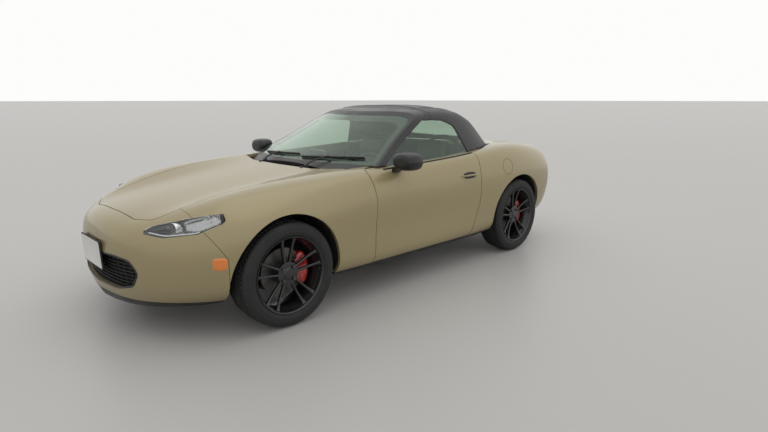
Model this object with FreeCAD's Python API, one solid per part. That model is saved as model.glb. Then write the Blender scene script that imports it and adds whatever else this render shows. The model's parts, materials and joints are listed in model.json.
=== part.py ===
"""Two-seat roadster convertible with its fabric top up: panels, lids, doors, wheels and running gear.

Frame: +Z up, the front of the car towards -Y, its left side towards +X. The origin is on the ground, at the
middle of the overall length and width. Every length is in millimetres.
"""
import FreeCAD, Part
import math
import os

from FreeCAD import Vector as V

os.makedirs("parts", exist_ok=True)

# Driving sizes of the whole car
overall_length = 3915.0
body_width = 1735.0
deck_height = 905.0
roof_height = 1230.0
wheelbase = 2310.0
front_overhang = 765.0
ground_clearance = 150.0
front_track = 1495.0
rear_track = 1505.0

# Sheet and gap sizes shared by the panels
panel_thickness = 22.0
seat_gap = 0.3
lid_gap = 5.0
trim_gap = 2.5
overrun = 400.0

# Places that follow from the driving sizes
half_width = body_width / 2
nose_y = -overall_length / 2
tail_y = overall_length / 2
front_axle_y = nose_y + front_overhang
rear_axle_y = front_axle_y + wheelbase

# Wheels and arches
tyre_radius = 308.0
tyre_width = 205.0
rim_radius = 215.9
arch_radius = 352.0
well_radius = 362.0
front_well_inner = 462.0
rear_well_inner = 560.0

# Cabin and door places
axle_to_cowl = 592.0
axle_to_door = 672.0
door_to_axle = 545.0
cowl_y = front_axle_y + axle_to_cowl
door_front_y = front_axle_y + axle_to_door
door_rear_y = rear_axle_y - door_to_axle
door_rear_slant = 95.0
door_inner_x = 712.0
sill_top = 238.0
sill_step = 335.0

# Smallest edge and smallest solid that are kept
least_edge = 0.001
least_volume = 1.0


def smooth(places, values, at):
    """A monotone cubic through values at places."""
    count = len(places)
    steps = [places[i + 1] - places[i] for i in range(count - 1)]
    rises = [(values[i + 1] - values[i]) / steps[i] for i in range(count - 1)]
    slopes = [rises[0]] + [0.0] * (count - 2) + [rises[-1]]
    for i in range(1, count - 1):
        if rises[i - 1] * rises[i] > 0:
            before = 2 * steps[i] + steps[i - 1]
            after = steps[i] + 2 * steps[i - 1]
            slopes[i] = (before + after) / (before / rises[i - 1] + after / rises[i])
    i = 0
    while i < count - 2 and at > places[i + 1]:
        i += 1
    t = (at - places[i]) / steps[i]
    rest = 1 - t
    return (
        (1 + 2 * t) * rest * rest * values[i]
        + t * rest * rest * steps[i] * slopes[i]
        + t * t * (3 - 2 * t) * values[i + 1]
        - t * t * rest * steps[i] * slopes[i + 1]
    )


def lerp(a, b, share):
    return a + (b - a) * share


def to_plane(plane, a, b, c):
    """A point with a and b in the plane's own axes and c along its normal."""
    if plane == "x":
        return V(c, a, b)
    if plane == "y":
        return V(a, c, b)
    return V(a, b, c)


def rounded_wire(plane, corners, radii, level):
    """A closed wire of straight runs with an arc of the given radius at each corner."""
    edges = []
    count = len(corners)
    if not isinstance(radii, (list, tuple)):
        radii = [radii] * count
    ends = []
    for i, (a, b) in enumerate(corners):
        here = V(a, b, 0)
        before = V(*corners[i - 1], 0) - here
        after = V(*corners[(i + 1) % count], 0) - here
        turn = before.getAngle(after)
        reach = radii[i] / math.tan(turn / 2) if radii[i] else 0.0
        reach = min(reach, before.Length / 2, after.Length / 2)
        before.normalize()
        after.normalize()
        start = here + before * reach
        end = here + after * reach
        radius = reach * math.tan(turn / 2)
        inward = before + after
        if reach:
            inward.normalize()
            mid = here + inward * (radius / math.sin(turn / 2) - radius)
        else:
            mid = here
        ends.append((start, mid, end))
    for i, (start, mid, end) in enumerate(ends):
        points = [to_plane(plane, p.x, p.y, level) for p in (start, mid, end)]
        if (start - end).Length:
            edges.append(Part.Arc(*points).toShape())
        following = to_plane(plane, ends[(i + 1) % count][0].x, ends[(i + 1) % count][0].y, level)
        if (following - points[2]).Length > least_edge:
            edges.append(Part.LineSegment(points[2], following).toShape())
    return Part.Wire(edges)


def prism(plane, corners, low, high, radii=0.0, grow=0.0):
    """A solid with the outline in the plane, grown by grow, from low to high along its normal."""
    face = Part.Face(rounded_wire(plane, corners, radii, low))
    if grow:
        face = face.makeOffset2D(grow)
    return face.extrude(to_plane(plane, 0, 0, high - low))


def box(x0, x1, y0, y1, z0, z1):
    return Part.makeBox(x1 - x0, y1 - y0, z1 - z0, V(x0, y0, z0))


def cylinder(radius, start, end):
    along = end - start
    return Part.makeCylinder(radius, along.Length, start, along)


def mirrored(shape):
    return shape.mirror(V(0, 0, 0), V(1, 0, 0))


def both(shape):
    return [shape, mirrored(shape)]


def biggest(shape):
    return max(shape.Solids, key=lambda s: s.Volume)


def net_solid(net):
    """A closed solid: one cubic surface over a net of poles, each row a closed loop, with flat ends."""
    surface = Part.BSplineSurface()
    knots = []
    for count in (len(net), len(net[0])):
        mults = [4] + [1] * (count - 4) + [4]
        knots.append((mults, [float(i) for i in range(len(mults))]))
    surface.buildFromPolesMultsKnots(
        net, knots[0][0], knots[1][0], knots[0][1], knots[1][1], False, False, 3, 3
    )
    side = surface.toShape()
    ends = sorted(side.Edges, key=lambda e: e.BoundBox.YLength)[:2]
    shell = Part.Shell([side] + [Part.Face(Part.Wire([e])) for e in ends])
    shell.sewShape()
    solid = Part.Solid(shell)
    if solid.Volume < 0:
        solid.reverse()
    return solid


def offset_rows(rows, offset, flat_ends):
    """Moves each pole of a half net inwards by offset, along the net's own normal."""
    moved = []
    last = len(rows) - 1
    for i, row in enumerate(rows):
        fresh = []
        for k, here in enumerate(row):
            if i < flat_ends:
                normal = V(0, -1, 0)
            elif i > last - flat_ends:
                normal = V(0, 1, 0)
            else:
                before = row[k - 1] if k else V(-row[1].x, row[1].y, row[1].z)
                end = k == len(row) - 1
                after = V(-row[-2].x, row[-2].y, row[-2].z) if end else row[k + 1]
                along = rows[min(i + 1, last)][k] - rows[max(i - 1, 0)][k]
                normal = (after - before).cross(along)
                normal.normalize()
            fresh.append(here - normal * offset)
        moved.append(fresh)
    return moved


def whole_net(rows):
    """The left half's rows joined to their mirror images, from under the car round over its top."""
    net = [[V(-p.x, p.y, p.z) for p in row[:0:-1]] + row for row in rows]
    for row in net:
        row[0].x = row[-1].x = 0.0
    return net


# Body skin. Each guide line runs from nose to tail; its shares are of half_width and of deck_height
guide_places = [nose_y, front_axle_y, cowl_y, 0.0, door_rear_y, rear_axle_y, tail_y]
guide_x_shares = (
    (0, 0, 0, 0, 0, 0, 0),
    (0.24, 0.27, 0.30, 0.32, 0.32, 0.30, 0.27),
    (0.41, 0.48, 0.58, 0.66, 0.67, 0.60, 0.48),
    (0.53, 0.655, 0.765, 0.845, 0.855, 0.775, 0.60),
    (0.67, 0.83, 0.905, 0.915, 0.922, 0.905, 0.74),
    (0.80, 0.965, 0.965, 0.952, 0.960, 0.985, 0.85),
    (0.87, 1.010, 0.985, 0.972, 0.985, 1.012, 0.91),
    (0.885, 1.008, 0.962, 0.945, 0.968, 1.010, 0.91),
    (0.86, 0.985, 0.965, 0.957, 0.968, 0.990, 0.86),
    (0.78, 0.945, 0.945, 0.940, 0.945, 0.945, 0.77),
    (0.50, 0.52, 0.52, 0.52, 0.52, 0.52, 0.48),
    (0, 0, 0, 0, 0, 0, 0),
)
guide_z_shares = (
    (0.730, 0.846, 0.922, 0.950, 0.978, 0.992, 0.956),
    (0.724, 0.838, 0.918, 0.948, 0.976, 0.991, 0.952),
    (0.706, 0.838, 0.918, 0.946, 0.974, 0.992, 0.945),
    (0.690, 0.893, 0.930, 0.940, 0.966, 1.012, 0.928),
    (0.665, 0.882, 0.908, 0.915, 0.945, 0.990, 0.890),
    (0.610, 0.790, 0.800, 0.806, 0.838, 0.886, 0.815),
    (0.520, 0.680, 0.670, 0.668, 0.692, 0.735, 0.700),
    (0.420, 0.560, 0.510, 0.505, 0.520, 0.575, 0.560),
    (0.320, 0.400, 0.350, 0.342, 0.350, 0.405, 0.420),
    (0.225, 0.225, 0.205, 0.200, 0.207, 0.235, 0.290),
    (0.122, 0.122, 0.122, 0.122, 0.122, 0.122, 0.150),
    (0.110, 0.110, 0.110, 0.110, 0.110, 0.110, 0.140),
)
girth_shares = (0.0, 0.10, 0.20, 0.28, 0.33, 0.38, 0.44, 0.50, 0.56, 0.62, 0.80, 1.0)
middle_rows = 14

# How the two ends close: depth share, then how far the width and the height have grown from the end's flat
nose_depth = 470.0
nose_bow = 215.0
nose_flat_half_width = 190.0
nose_flat_height = 425.0
nose_flat_half_height = 70.0
nose_row_shares = (
    (0.0, 0.0, 0.0),
    (0.0, 0.20, 0.42),
    (0.035, 0.42, 0.70),
    (0.14, 0.64, 0.87),
    (0.36, 0.84, 0.95),
    (0.66, 0.955, 0.985),
)
tail_depth = 360.0
tail_bow = 120.0
tail_flat_half_width = 300.0
tail_flat_height = 590.0
tail_flat_half_height = 95.0
tail_row_shares = (
    (0.0, 0.0, 0.0),
    (0.0, 0.28, 0.48),
    (0.035, 0.52, 0.78),
    (0.14, 0.72, 0.93),
    (0.36, 0.88, 0.985),
    (0.66, 0.97, 1.0),
)


def guide_point(y, line):
    x = smooth(guide_places, guide_x_shares[line], y) * half_width
    z = smooth(guide_places, guide_z_shares[line], y) * deck_height
    return x, z


def end_row(y, depth, bow, flat, wide, tall):
    """One row of poles near an end, between the end's flat oval and the full section."""
    row = []
    for line, girth in enumerate(girth_shares):
        x, z = guide_point(y, line)
        turn = math.pi / 2 - math.pi * girth
        start_x = flat[0] * math.cos(turn)
        start_z = flat[1] + flat[2] * math.sin(turn)
        px = lerp(start_x, x, wide)
        sweep = bow * (1 - depth) * (px / half_width) ** 2 if wide else 0.0
        row.append(V(px, y + sweep, lerp(start_z, z, tall)))
    return row


def body_rows():
    nose_flat = (nose_flat_half_width, nose_flat_height, nose_flat_half_height)
    tail_flat = (tail_flat_half_width, tail_flat_height, tail_flat_half_height)
    rows = []
    for depth, wide, tall in nose_row_shares:
        rows.append(end_row(nose_y + nose_depth * depth, depth, nose_bow, nose_flat, wide, tall))
    first = nose_y + nose_depth
    last = tail_y - tail_depth
    for i in range(middle_rows + 1):
        y = lerp(first, last, i / middle_rows)
        rows.append([V(x, y, z) for x, z in (guide_point(y, line) for line in range(len(girth_shares)))])
    for depth, wide, tall in reversed(tail_row_shares):
        rows.append(end_row(tail_y - tail_depth * depth, depth, -tail_bow, tail_flat, wide, tall))
    return rows


def skin(offset=0.0):
    """The body's outer form without its greenhouse, taken in by offset and cut flat underneath."""
    rows = body_rows()
    if offset:
        rows = offset_rows(rows, offset, 1)
    low = box(-body_width, body_width, nose_y - overrun, tail_y + overrun, ground_clearance, roof_height)
    return net_solid(whole_net(rows)).common(low)


# Greenhouse: the fabric top, side glass and windscreen lie on this form
roof_place_shares = (0.345, 0.475, 0.539, 0.590, 0.654, 0.705, 0.743, 0.782, 0.820)
roof_places = [nose_y + share * overall_length for share in roof_place_shares]
roof_z_shares = (0.912, 0.942, 0.982, 1.002, 0.995, 0.952, 0.882, 0.788, 0.668)
rail_x_shares = (0.600, 0.640, 0.655, 0.660, 0.650, 0.620, 0.575, 0.510, 0.430)
rail_drop_shares = (0.055, 0.055, 0.060, 0.062, 0.062, 0.058, 0.050, 0.045, 0.040)
waist_x_shares = (0.868, 0.864, 0.864, 0.864, 0.858, 0.830, 0.775, 0.690, 0.570)
roof_rows = 16
waist_height = 816.0
roof_foot = 700.0


def roof_row(y):
    top = smooth(roof_places, roof_z_shares, y) * roof_height
    rail_x = smooth(roof_places, rail_x_shares, y) * half_width
    drop = smooth(roof_places, rail_drop_shares, y) * roof_height
    waist_x = smooth(roof_places, waist_x_shares, y) * half_width
    waist_z = min(waist_height, top - 2 * drop)
    rail_z = top - drop
    return [
        V(0, y, top),
        V(rail_x * 0.38, y, top - drop * 0.04),
        V(rail_x * 0.72, y, top - drop * 0.22),
        V(rail_x * 0.96, y, top - drop * 0.62),
        V(lerp(rail_x, waist_x, 0.12), y, lerp(rail_z, waist_z, 0.10)),
        V(lerp(rail_x, waist_x, 0.45), y, lerp(rail_z, waist_z, 0.40)),
        V(lerp(rail_x, waist_x, 0.85), y, lerp(rail_z, waist_z, 0.80)),
        V(waist_x, y, waist_z),
        V(waist_x, y, roof_foot),
        V(waist_x / 2, y, roof_foot),
        V(0, y, roof_foot),
    ]


def greenhouse(offset=0.0):
    rows = []
    for i in range(roof_rows + 1):
        rows.append(roof_row(lerp(roof_places[0], roof_places[-1], i / roof_rows)))
    if offset:
        rows = offset_rows(rows, offset, 0)
        for row in rows[:1] + rows[-1:]:
            level = row[0].y
            for p in row:
                p.y = level
    return net_solid(whole_net(rows))


# Windscreen: one curved sheet, raked back
screen_base_y = cowl_y
screen_base_z = 838.0
screen_rake = 598.0
screen_top_y = screen_base_y + screen_rake
screen_top_z = 1163.0
screen_base_half = 700.0
screen_top_half = 585.0
screen_base_bow = 150.0
screen_top_bow = 105.0
screen_top_drop = 42.0
screen_frame_depth = 75.0
screen_glass_depth = 9.0
pillar_width = 46.0
screen_glass_edge = 15.0
screen_q_shares = (-0.4, 0.0, 0.5, 1.0, 1.4)
screen_p_shares = (-1.5, -1.0, -0.5, 0.0, 0.5, 1.0, 1.5)


def screen_point(p, q):
    half = lerp(screen_base_half, screen_top_half, q)
    bow = lerp(screen_base_bow, screen_top_bow, q) * p * p
    y = lerp(screen_base_y, screen_top_y, q) + bow
    return V(p * half, y, lerp(screen_base_z, screen_top_z, q) - screen_top_drop * q * p * p)


def screen_slab(front, back):
    """The space from front to back, measured along +Y from the windscreen's outer face."""
    surface = Part.BSplineSurface()
    surface.interpolate([[screen_point(p, q) for p in screen_p_shares] for q in screen_q_shares])
    face = surface.toShape()
    face.translate(V(0, front, 0))
    return face.extrude(V(0, back - front, 0))


built = {}


def add(name, *shapes):
    """Keeps a node: its shapes stay separate solids."""
    solids = []
    for shape in shapes:
        solids.extend(s for s in shape.Solids if s.Volume > least_volume)
    built[name] = Part.makeCompound(solids)


def scaled(shares, across, up, start=0.0):
    return [(start + a * across, b * up) for a, b in shares]


def whole(half_outline):
    """An outline closed by its mirror image."""
    return list(half_outline) + [(-a, b) for a, b in reversed(half_outline) if a]


body_outer = skin()
body_inner = skin(panel_thickness)
body_mid = skin(panel_thickness / 2)
tub_outer = skin(panel_thickness + seat_gap)
lid_bed = skin(panel_thickness + lid_gap)
shell = body_outer.cut(body_inner)
front_limit = nose_y - overrun
rear_limit = tail_y + overrun
side_limit = body_width
top_limit = roof_height + overrun
left_shell = shell.common(box(0, side_limit, front_limit, rear_limit, 0, top_limit))

# Wheel arches and wells
front_left_hub = V(front_track / 2, front_axle_y, tyre_radius)
rear_left_hub = V(rear_track / 2, rear_axle_y, tyre_radius)


def arch(hub, radius, inner_x):
    return cylinder(radius, V(inner_x, hub.y, hub.z), V(side_limit, hub.y, hub.z))


front_arch = arch(front_left_hub, arch_radius, half_width / 2)
rear_arch = arch(rear_left_hub, arch_radius, half_width / 2)
arches = Part.makeCompound([front_arch, rear_arch])

# Bonnet: shares of half_width and of front_overhang back from the nose
hood_outline_shares = (
    (0.0, 0.165), (0.34, 0.18), (0.49, 0.25), (0.632, 1.0), (0.728, 1.775), (0.42, 1.665), (0.0, 1.64),
)
hood_round = 75.0
hood_corner_round = 12.0
hood_rounds = [hood_round] * 4 + [hood_corner_round] + [hood_round] * 2
hood_rounds = hood_rounds + hood_rounds[5:0:-1]
hood_low = deck_height * 0.6
hood_hinge_x = 520.0
hood_hinge_drop = 50.0
hood_hinge_y = nose_y + front_overhang * 1.745
hood_hinge_z = deck_height * 0.928 - hood_hinge_drop


def plan_prism(half_outline, radius, grow=0.0):
    return prism("z", whole(half_outline), hood_low, top_limit, radius, grow)


hood_half_outline = scaled(hood_outline_shares, half_width, front_overhang)
hood_half_outline = [(x, y + nose_y) for x, y in hood_half_outline]
hood_prism = plan_prism(hood_half_outline, hood_rounds)
hood_hole = plan_prism(hood_half_outline, hood_rounds, lid_gap)

# Cowl tray between bonnet and windscreen, and the open top of the cabin behind it
cowl_rear_reach = 62.0
cowl_half = 640.0
cowl_corner_reach = 18.0
cowl_drop = 72.0
cowl_sheet = 12.0
opening_half = 700.0
opening_to_axle = 42.0
opening_rear_y = rear_axle_y - opening_to_axle
opening_inset = 48.0
opening_turn_reach = 200.0
opening_turn_y = door_rear_y + opening_turn_reach
hood_rear_y = nose_y + front_overhang * 1.64
cowl_front_y = hood_rear_y - lid_gap * 2
screen_side_y = screen_base_y + screen_base_bow * (cowl_half / screen_base_half) ** 2
screen_line = [
    (0.0, screen_base_y + cowl_rear_reach),
    (cowl_half / 2, lerp(screen_base_y, screen_side_y, 0.3) + cowl_rear_reach),
    (cowl_half, screen_side_y + cowl_rear_reach),
]
cowl_half_outline = [
    (0.0, cowl_front_y),
    (cowl_half * 0.75, cowl_front_y),
    (cowl_half, nose_y + front_overhang * hood_outline_shares[4][1] - cowl_corner_reach),
] + screen_line[::-1]


def waist_half(y):
    """Half the width of the cabin's opening, just inside the fabric's foot."""
    return smooth(roof_places, waist_x_shares, y) * half_width - opening_inset


cowl_hole = plan_prism(cowl_half_outline, 0.0)
cowl_upper = skin(cowl_drop)
cowl_under = skin(cowl_drop + cowl_sheet)
cowl_bed = skin(cowl_drop + cowl_sheet + seat_gap)
cabin_top = plan_prism(
    screen_line
    + [
        (opening_half, screen_side_y + cowl_rear_reach * 2),
        (opening_half, opening_turn_y),
        (waist_half(lerp(opening_turn_y, opening_rear_y, 0.5)), lerp(opening_turn_y, opening_rear_y, 0.5)),
        (waist_half(opening_rear_y), opening_rear_y),
        (0.0, opening_rear_y),
    ],
    0.0,
)

# Doors
hinge_inset = 80.0
hinge_setback = 85.0
door_hinge = V(half_width - hinge_inset, door_front_y + hinge_setback, 0)
door_nose_radius = 109.0
door_corner_round = 60.0
door_rear_relief = 4.6


def door_space(gap, rear_gap):
    """The room of the left door, its leading edge turned about the hinge."""
    outline = prism(
        "x",
        [
            (door_hinge.y, sill_top - gap),
            (door_rear_y - door_rear_slant + rear_gap, sill_top - gap),
            (door_rear_y + rear_gap, deck_height * 0.55),
            (door_rear_y + rear_gap, top_limit),
            (door_hinge.y, top_limit),
        ],
        door_inner_x - gap,
        side_limit,
        [0.0, door_corner_round, door_corner_round * 3, 0.0, 0.0],
    )
    foot = V(door_hinge.x, door_hinge.y, sill_top - gap)
    nose = cylinder(door_nose_radius + gap, foot, V(foot.x, foot.y, top_limit))
    nose = nose.common(box(door_inner_x - gap, side_limit, front_limit, door_hinge.y, 0, top_limit))
    return outline.fuse(nose)


door_room = door_space(lid_gap, lid_gap)
door_deep_room = door_space(lid_gap, lid_gap + door_rear_relief)
door_nose_sweep = cylinder(
    door_nose_radius + lid_gap,
    V(door_hinge.x, door_hinge.y, sill_top - lid_gap),
    V(door_hinge.x, door_hinge.y, top_limit),
)

# Door hinges: an ear on the pillar carries an upright pin, and a lug inside the door turns on it
pin_radius = 8.0
pin_play = 0.3
hinge_ear = 16.0
hinge_lug = 15.0
hinge_level_shares = (0.42, 0.74)
hinge_levels = [deck_height * share for share in hinge_level_shares]
hinge_room = 26.0
pillar_inner_x = 606.0
pillar_reach = 48.0
pillar_rear_y = door_hinge.y + pillar_reach


def door_hinge_parts(level):
    """The ear with its pin, the lug and the room around them."""
    at = V(door_hinge.x, door_hinge.y, level)
    up = V(0, 0, 1)
    ear_top = level + hinge_ear
    ear = box(pillar_inner_x + hinge_room, at.x, at.y - hinge_ear, at.y + hinge_ear, level, ear_top)
    ear = ear.fuse(cylinder(hinge_ear, at, at + up * hinge_ear))
    pin = cylinder(pin_radius, at, at + up * (hinge_ear + hinge_lug * 2))
    lug_foot = at + up * (hinge_ear + pin_play)
    lug = cylinder(hinge_ear, lug_foot, lug_foot + up * hinge_lug)
    arm = box(at.x, side_limit, at.y - hinge_ear, at.y + hinge_ear, lug_foot.z, lug_foot.z + hinge_lug)
    arm = arm.common(body_mid)
    bore = cylinder(pin_radius + pin_play, at, at + up * (hinge_ear + hinge_lug * 2))
    lug = lug.fuse(arm).cut(bore)
    low = level - lid_gap
    high = level + hinge_ear + hinge_lug * 2 + lid_gap
    room = cylinder(hinge_room, V(at.x, at.y, low), V(at.x, at.y, high))
    room = room.fuse(box(half_width / 2, at.x, front_limit, at.y + hinge_room, low, high))
    room = room.fuse(box(at.x, at.x + hinge_room, at.y - hinge_room * 2, at.y, low, high))
    return ear.fuse(pin), lug, room


# Lamps, mouth, seams and lid: shares of half_width across and deck_height up
mouth_shares = (
    (0.0, 0.50), (0.30, 0.505), (0.44, 0.49), (0.50, 0.42), (0.45, 0.335), (0.30, 0.30), (0.0, 0.295),
)
lamp_shares = (
    (0.49, 0.655), (0.52, 0.692), (0.70, 0.742), (0.845, 0.770), (0.875, 0.722), (0.79, 0.66), (0.63, 0.636),
)
tail_lamp_shares = (
    (0.62, 0.80), (0.66, 0.885), (0.78, 0.89), (0.89, 0.845), (0.885, 0.755), (0.76, 0.735), (0.66, 0.755),
)
front_seam_shares = ((0.56, 0.11), (0.525, 0.52), (0.415, 0.69), (0.415, 1.0), (-0.5, 1.0), (-0.5, 0.11))
rear_seam_shares = ((0.60, 0.11), (0.575, 0.52), (0.375, 0.715), (-0.5, 0.715), (-0.5, 0.11))
mouth_round = 28.0
lamp_round = 16.0
tail_lamp_round = 24.0
mouth_depth = 300.0
lamp_depth = 60.0
lip_top = 214.0
lid_half = 520.0
lid_low = deck_height * 0.738
axle_to_lid = 112.0
lid_front_y = rear_axle_y + axle_to_lid
lid_hinge_reach = 46.0
lid_hinge_drop = 34.0
lid_hinge = V(0, lid_front_y + lid_hinge_reach, deck_height * 0.985 - lid_hinge_drop)
lid_nose_radius = math.hypot(lid_hinge_reach, lid_hinge_drop)


def front_prism(outline, depth, radius, grow=0.0):
    return prism("y", outline, front_limit, depth, radius, grow)


def rear_prism(outline, depth, radius, grow=0.0):
    return prism("y", outline, depth, rear_limit, radius, grow)


mouth_half = scaled(mouth_shares, half_width, deck_height)
lamp_outline = scaled(lamp_shares, half_width, deck_height)
tail_lamp_outline = scaled(tail_lamp_shares, half_width, deck_height)
mouth_hole = front_prism(whole(mouth_half), nose_y + mouth_depth, mouth_round)
lamp_hole = front_prism(lamp_outline, front_axle_y - arch_radius, lamp_round)
tail_lamp_hole = rear_prism(tail_lamp_outline, rear_axle_y + arch_radius, tail_lamp_round)


def end_prism(shares, end, way, gap):
    """The space of a bumper, up to its seam with the wings; gap moves the seam away from the end."""
    points = [(end + way * (a * front_overhang + gap), b * deck_height) for a, b in shares]
    return prism("x", points, -side_limit, side_limit)


front_end = end_prism(front_seam_shares, nose_y, 1, 0.0)
front_end_grown = end_prism(front_seam_shares, nose_y, 1, trim_gap)
rear_end = end_prism(rear_seam_shares, tail_y, -1, 0.0)
rear_end_grown = end_prism(rear_seam_shares, tail_y, -1, trim_gap)
rear_end_grown = rear_end_grown.fuse(rear_end_grown.translated(V(0, 0, trim_gap)))


def lid_space(gap):
    """The room of the boot lid; its front edge is turned about the hinge."""
    half = lid_half + gap
    side = V(half, 0, 0)
    flat = box(-half, half, lid_hinge.y, rear_limit, lid_low - gap, top_limit)
    nose = cylinder(lid_nose_radius + gap, lid_hinge - side, lid_hinge + side)
    return flat.fuse(nose)


lid_room = lid_space(0.0)
lid_hole = lid_space(lid_gap)
lip_zone = box(-side_limit, side_limit, front_limit, front_axle_y, 0, lip_top)
lip_zone_grown = box(-side_limit, side_limit, front_limit, front_axle_y, 0, lip_top + trim_gap)
sill_line = sill_top - lid_gap
sill_zone = box(-side_limit, side_limit, front_axle_y, rear_axle_y, 0, sill_line)

# Silencer and its two pipes, in a recess under the boot
axle_to_muffler = 395.0
muffler_to_tail = 115.0
muffler_front_y = rear_axle_y + axle_to_muffler
muffler_rear_y = tail_y - muffler_to_tail
muffler_half = 330.0
muffler_top = 300.0
muffler_radius = 62.0
pipe_radius = 38.0
pipe_x = 285.0
pipe_z = muffler_top - muffler_radius
pipe_front = V(pipe_x, muffler_front_y + muffler_radius * 2, pipe_z)
pipe_rear = V(pipe_x, tail_y - lid_gap * 4, pipe_z)
pipe_room = cylinder(pipe_radius + lid_gap, pipe_front, V(pipe_x, rear_limit, pipe_z))

# Painted panels
holes = [hood_hole, mouth_hole, lip_zone_grown] + both(lamp_hole) + both(front_arch)
add("front_bumper", biggest(shell.common(front_end).cut(Part.makeCompound(holes))))

lip = shell.common(lip_zone).common(front_end).cut(Part.makeCompound(both(front_arch)))
add("front_lip", biggest(lip))

fender_rear_y = pillar_rear_y
fender = left_shell.common(box(0, side_limit, front_limit, fender_rear_y, sill_line + trim_gap, top_limit))
fender_cuts = [front_end_grown, hood_hole, cowl_hole, cabin_top, lamp_hole, front_arch]
fender_cuts.extend([door_room, door_nose_sweep])
fender = biggest(fender.cut(Part.makeCompound(fender_cuts)))
add("fender_left", fender)
add("fender_right", mirrored(fender))

deck_half = lid_half + lid_gap
deck_box = box(-deck_half, deck_half, opening_rear_y, lid_hinge.y, hood_low, top_limit)
deck_box_grown = box(
    -deck_half - trim_gap, deck_half + trim_gap, opening_rear_y, lid_hinge.y, hood_low, top_limit
)
add("rear_deck", biggest(shell.common(deck_box).cut(lid_hole)))

quarter = left_shell.common(
    box(0, side_limit, door_rear_y - door_rear_slant * 2, rear_limit, sill_line + trim_gap, top_limit)
)
quarter_cuts = [rear_end_grown, lid_hole, cabin_top, tail_lamp_hole, rear_arch, door_room, deck_box_grown]
quarter = biggest(quarter.cut(Part.makeCompound(quarter_cuts)))
add("quarter_left", quarter)
add("quarter_right", mirrored(quarter))

plate_half = 262.0
plate_low = 432.0
plate_high = 556.0
plate_inset = 12.0
tail_cuts = [lid_hole] + both(tail_lamp_hole) + both(rear_arch) + both(pipe_room)
tail = biggest(shell.common(rear_end).cut(Part.makeCompound(tail_cuts)))
behind_plate = tail.common(box(0, plate_half, 0, rear_limit, plate_low, plate_high))
plate_face_y = behind_plate.BoundBox.YMax - plate_inset
tail = tail.cut(box(-plate_half, plate_half, plate_face_y, rear_limit, plate_low, plate_high))
add("rear_bumper", biggest(tail))

sill = left_shell.common(sill_zone).cut(arches)
add("side_sills", *both(biggest(sill)))

# Bonnet with two hinge lugs
lug_half = 7.0
lug_ring = 15.0


def lid_lug(at, way, rise):
    """A lug on a sideways pin: a ring and a web that runs way (-1 forward, 1 back) up to the lid's sheet."""
    ends = V(lug_half, 0, 0)
    ring = cylinder(lug_ring, at - ends, at + ends)
    web = prism(
        "x",
        [
            (at.y, at.z - lug_ring * 0.9),
            (at.y, at.z + lug_ring * 0.9),
            (at.y + way * lug_ring, at.z + rise),
            (at.y + way * lug_ring * 3, at.z + rise),
            (at.y + way * lug_ring * 3, at.z + lug_ring / 2),
        ],
        at.x - lug_half, at.x + lug_half,
    )
    hole = cylinder(pin_radius + pin_play, at - ends * 2, at + ends * 2)
    return ring.fuse(web).common(body_mid).cut(hole)


hood_hinge = V(hood_hinge_x, hood_hinge_y, hood_hinge_z)
hood = biggest(shell.common(hood_prism))
hood_lug = lid_lug(hood_hinge, -1, hood_hinge_drop)
hood_post_inner = hood_hinge_x + lug_half + trim_gap
hood_post_outer = hood_post_inner + lug_ring
hood_post_depth = cowl_drop + cowl_sheet * 2 - hood_hinge_drop
hood_post = box(
    hood_post_inner, hood_post_outer, hood_hinge_y - lug_ring, hood_hinge_y + lug_ring,
    hood_hinge_z - hood_post_depth, hood_hinge_z + pin_radius + trim_gap,
)
hood_post_room = box(
    hood_post_inner - trim_gap, hood_post_outer + trim_gap,
    hood_hinge_y - lug_ring - trim_gap, hood_hinge_y + lug_ring + trim_gap,
    hood_hinge_z - hood_post_depth, top_limit,
)
add("hood", hood.fuse(both(hood_lug)))

# Boot lid with two hinge lugs
lid_lug_inset = 60.0
lid_lug_x = lid_half - lid_lug_inset
boot_lid = biggest(shell.common(lid_room))
boot_lug = lid_lug(V(lid_lug_x, lid_hinge.y, lid_hinge.z), 1, lid_hinge_drop)
add("boot_lid", boot_lid.fuse(both(boot_lug)))

# Glass slots and the left door
glass_outset = 3.0
glass_thickness = 5.0
glass_play = 0.4
window_seat_z = 760.0
cabin_form = greenhouse()
glass_sheet = greenhouse(glass_outset).cut(greenhouse(glass_outset + glass_thickness))
slot_inner = greenhouse(glass_outset + glass_thickness + glass_play)
slot_sheet = greenhouse(glass_outset - glass_play).cut(slot_inner)
slot_zone = box(half_width / 2, side_limit, front_limit, rear_limit, window_seat_z, top_limit)
slot_sheet = slot_sheet.common(slot_zone)
door_block = body_outer.common(door_space(0.0, 0.0))
relief = prism(
    "z",
    [
        (door_hinge.x, door_rear_y),
        (door_hinge.x, door_rear_y + overrun),
        (door_inner_x - lid_gap, door_rear_y + overrun),
        (door_inner_x - lid_gap, door_rear_y - door_rear_relief),
    ],
    0, top_limit,
)
hinge_parts = [door_hinge_parts(level) for level in hinge_levels]
hinge_rooms = Part.makeCompound([parts[2] for parts in hinge_parts])
door = door_block.cut(relief).cut(hinge_rooms).cut(slot_sheet)
door = biggest(door).fuse([parts[1] for parts in hinge_parts])
add("door_left", door)
add("door_right", mirrored(door))

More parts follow.
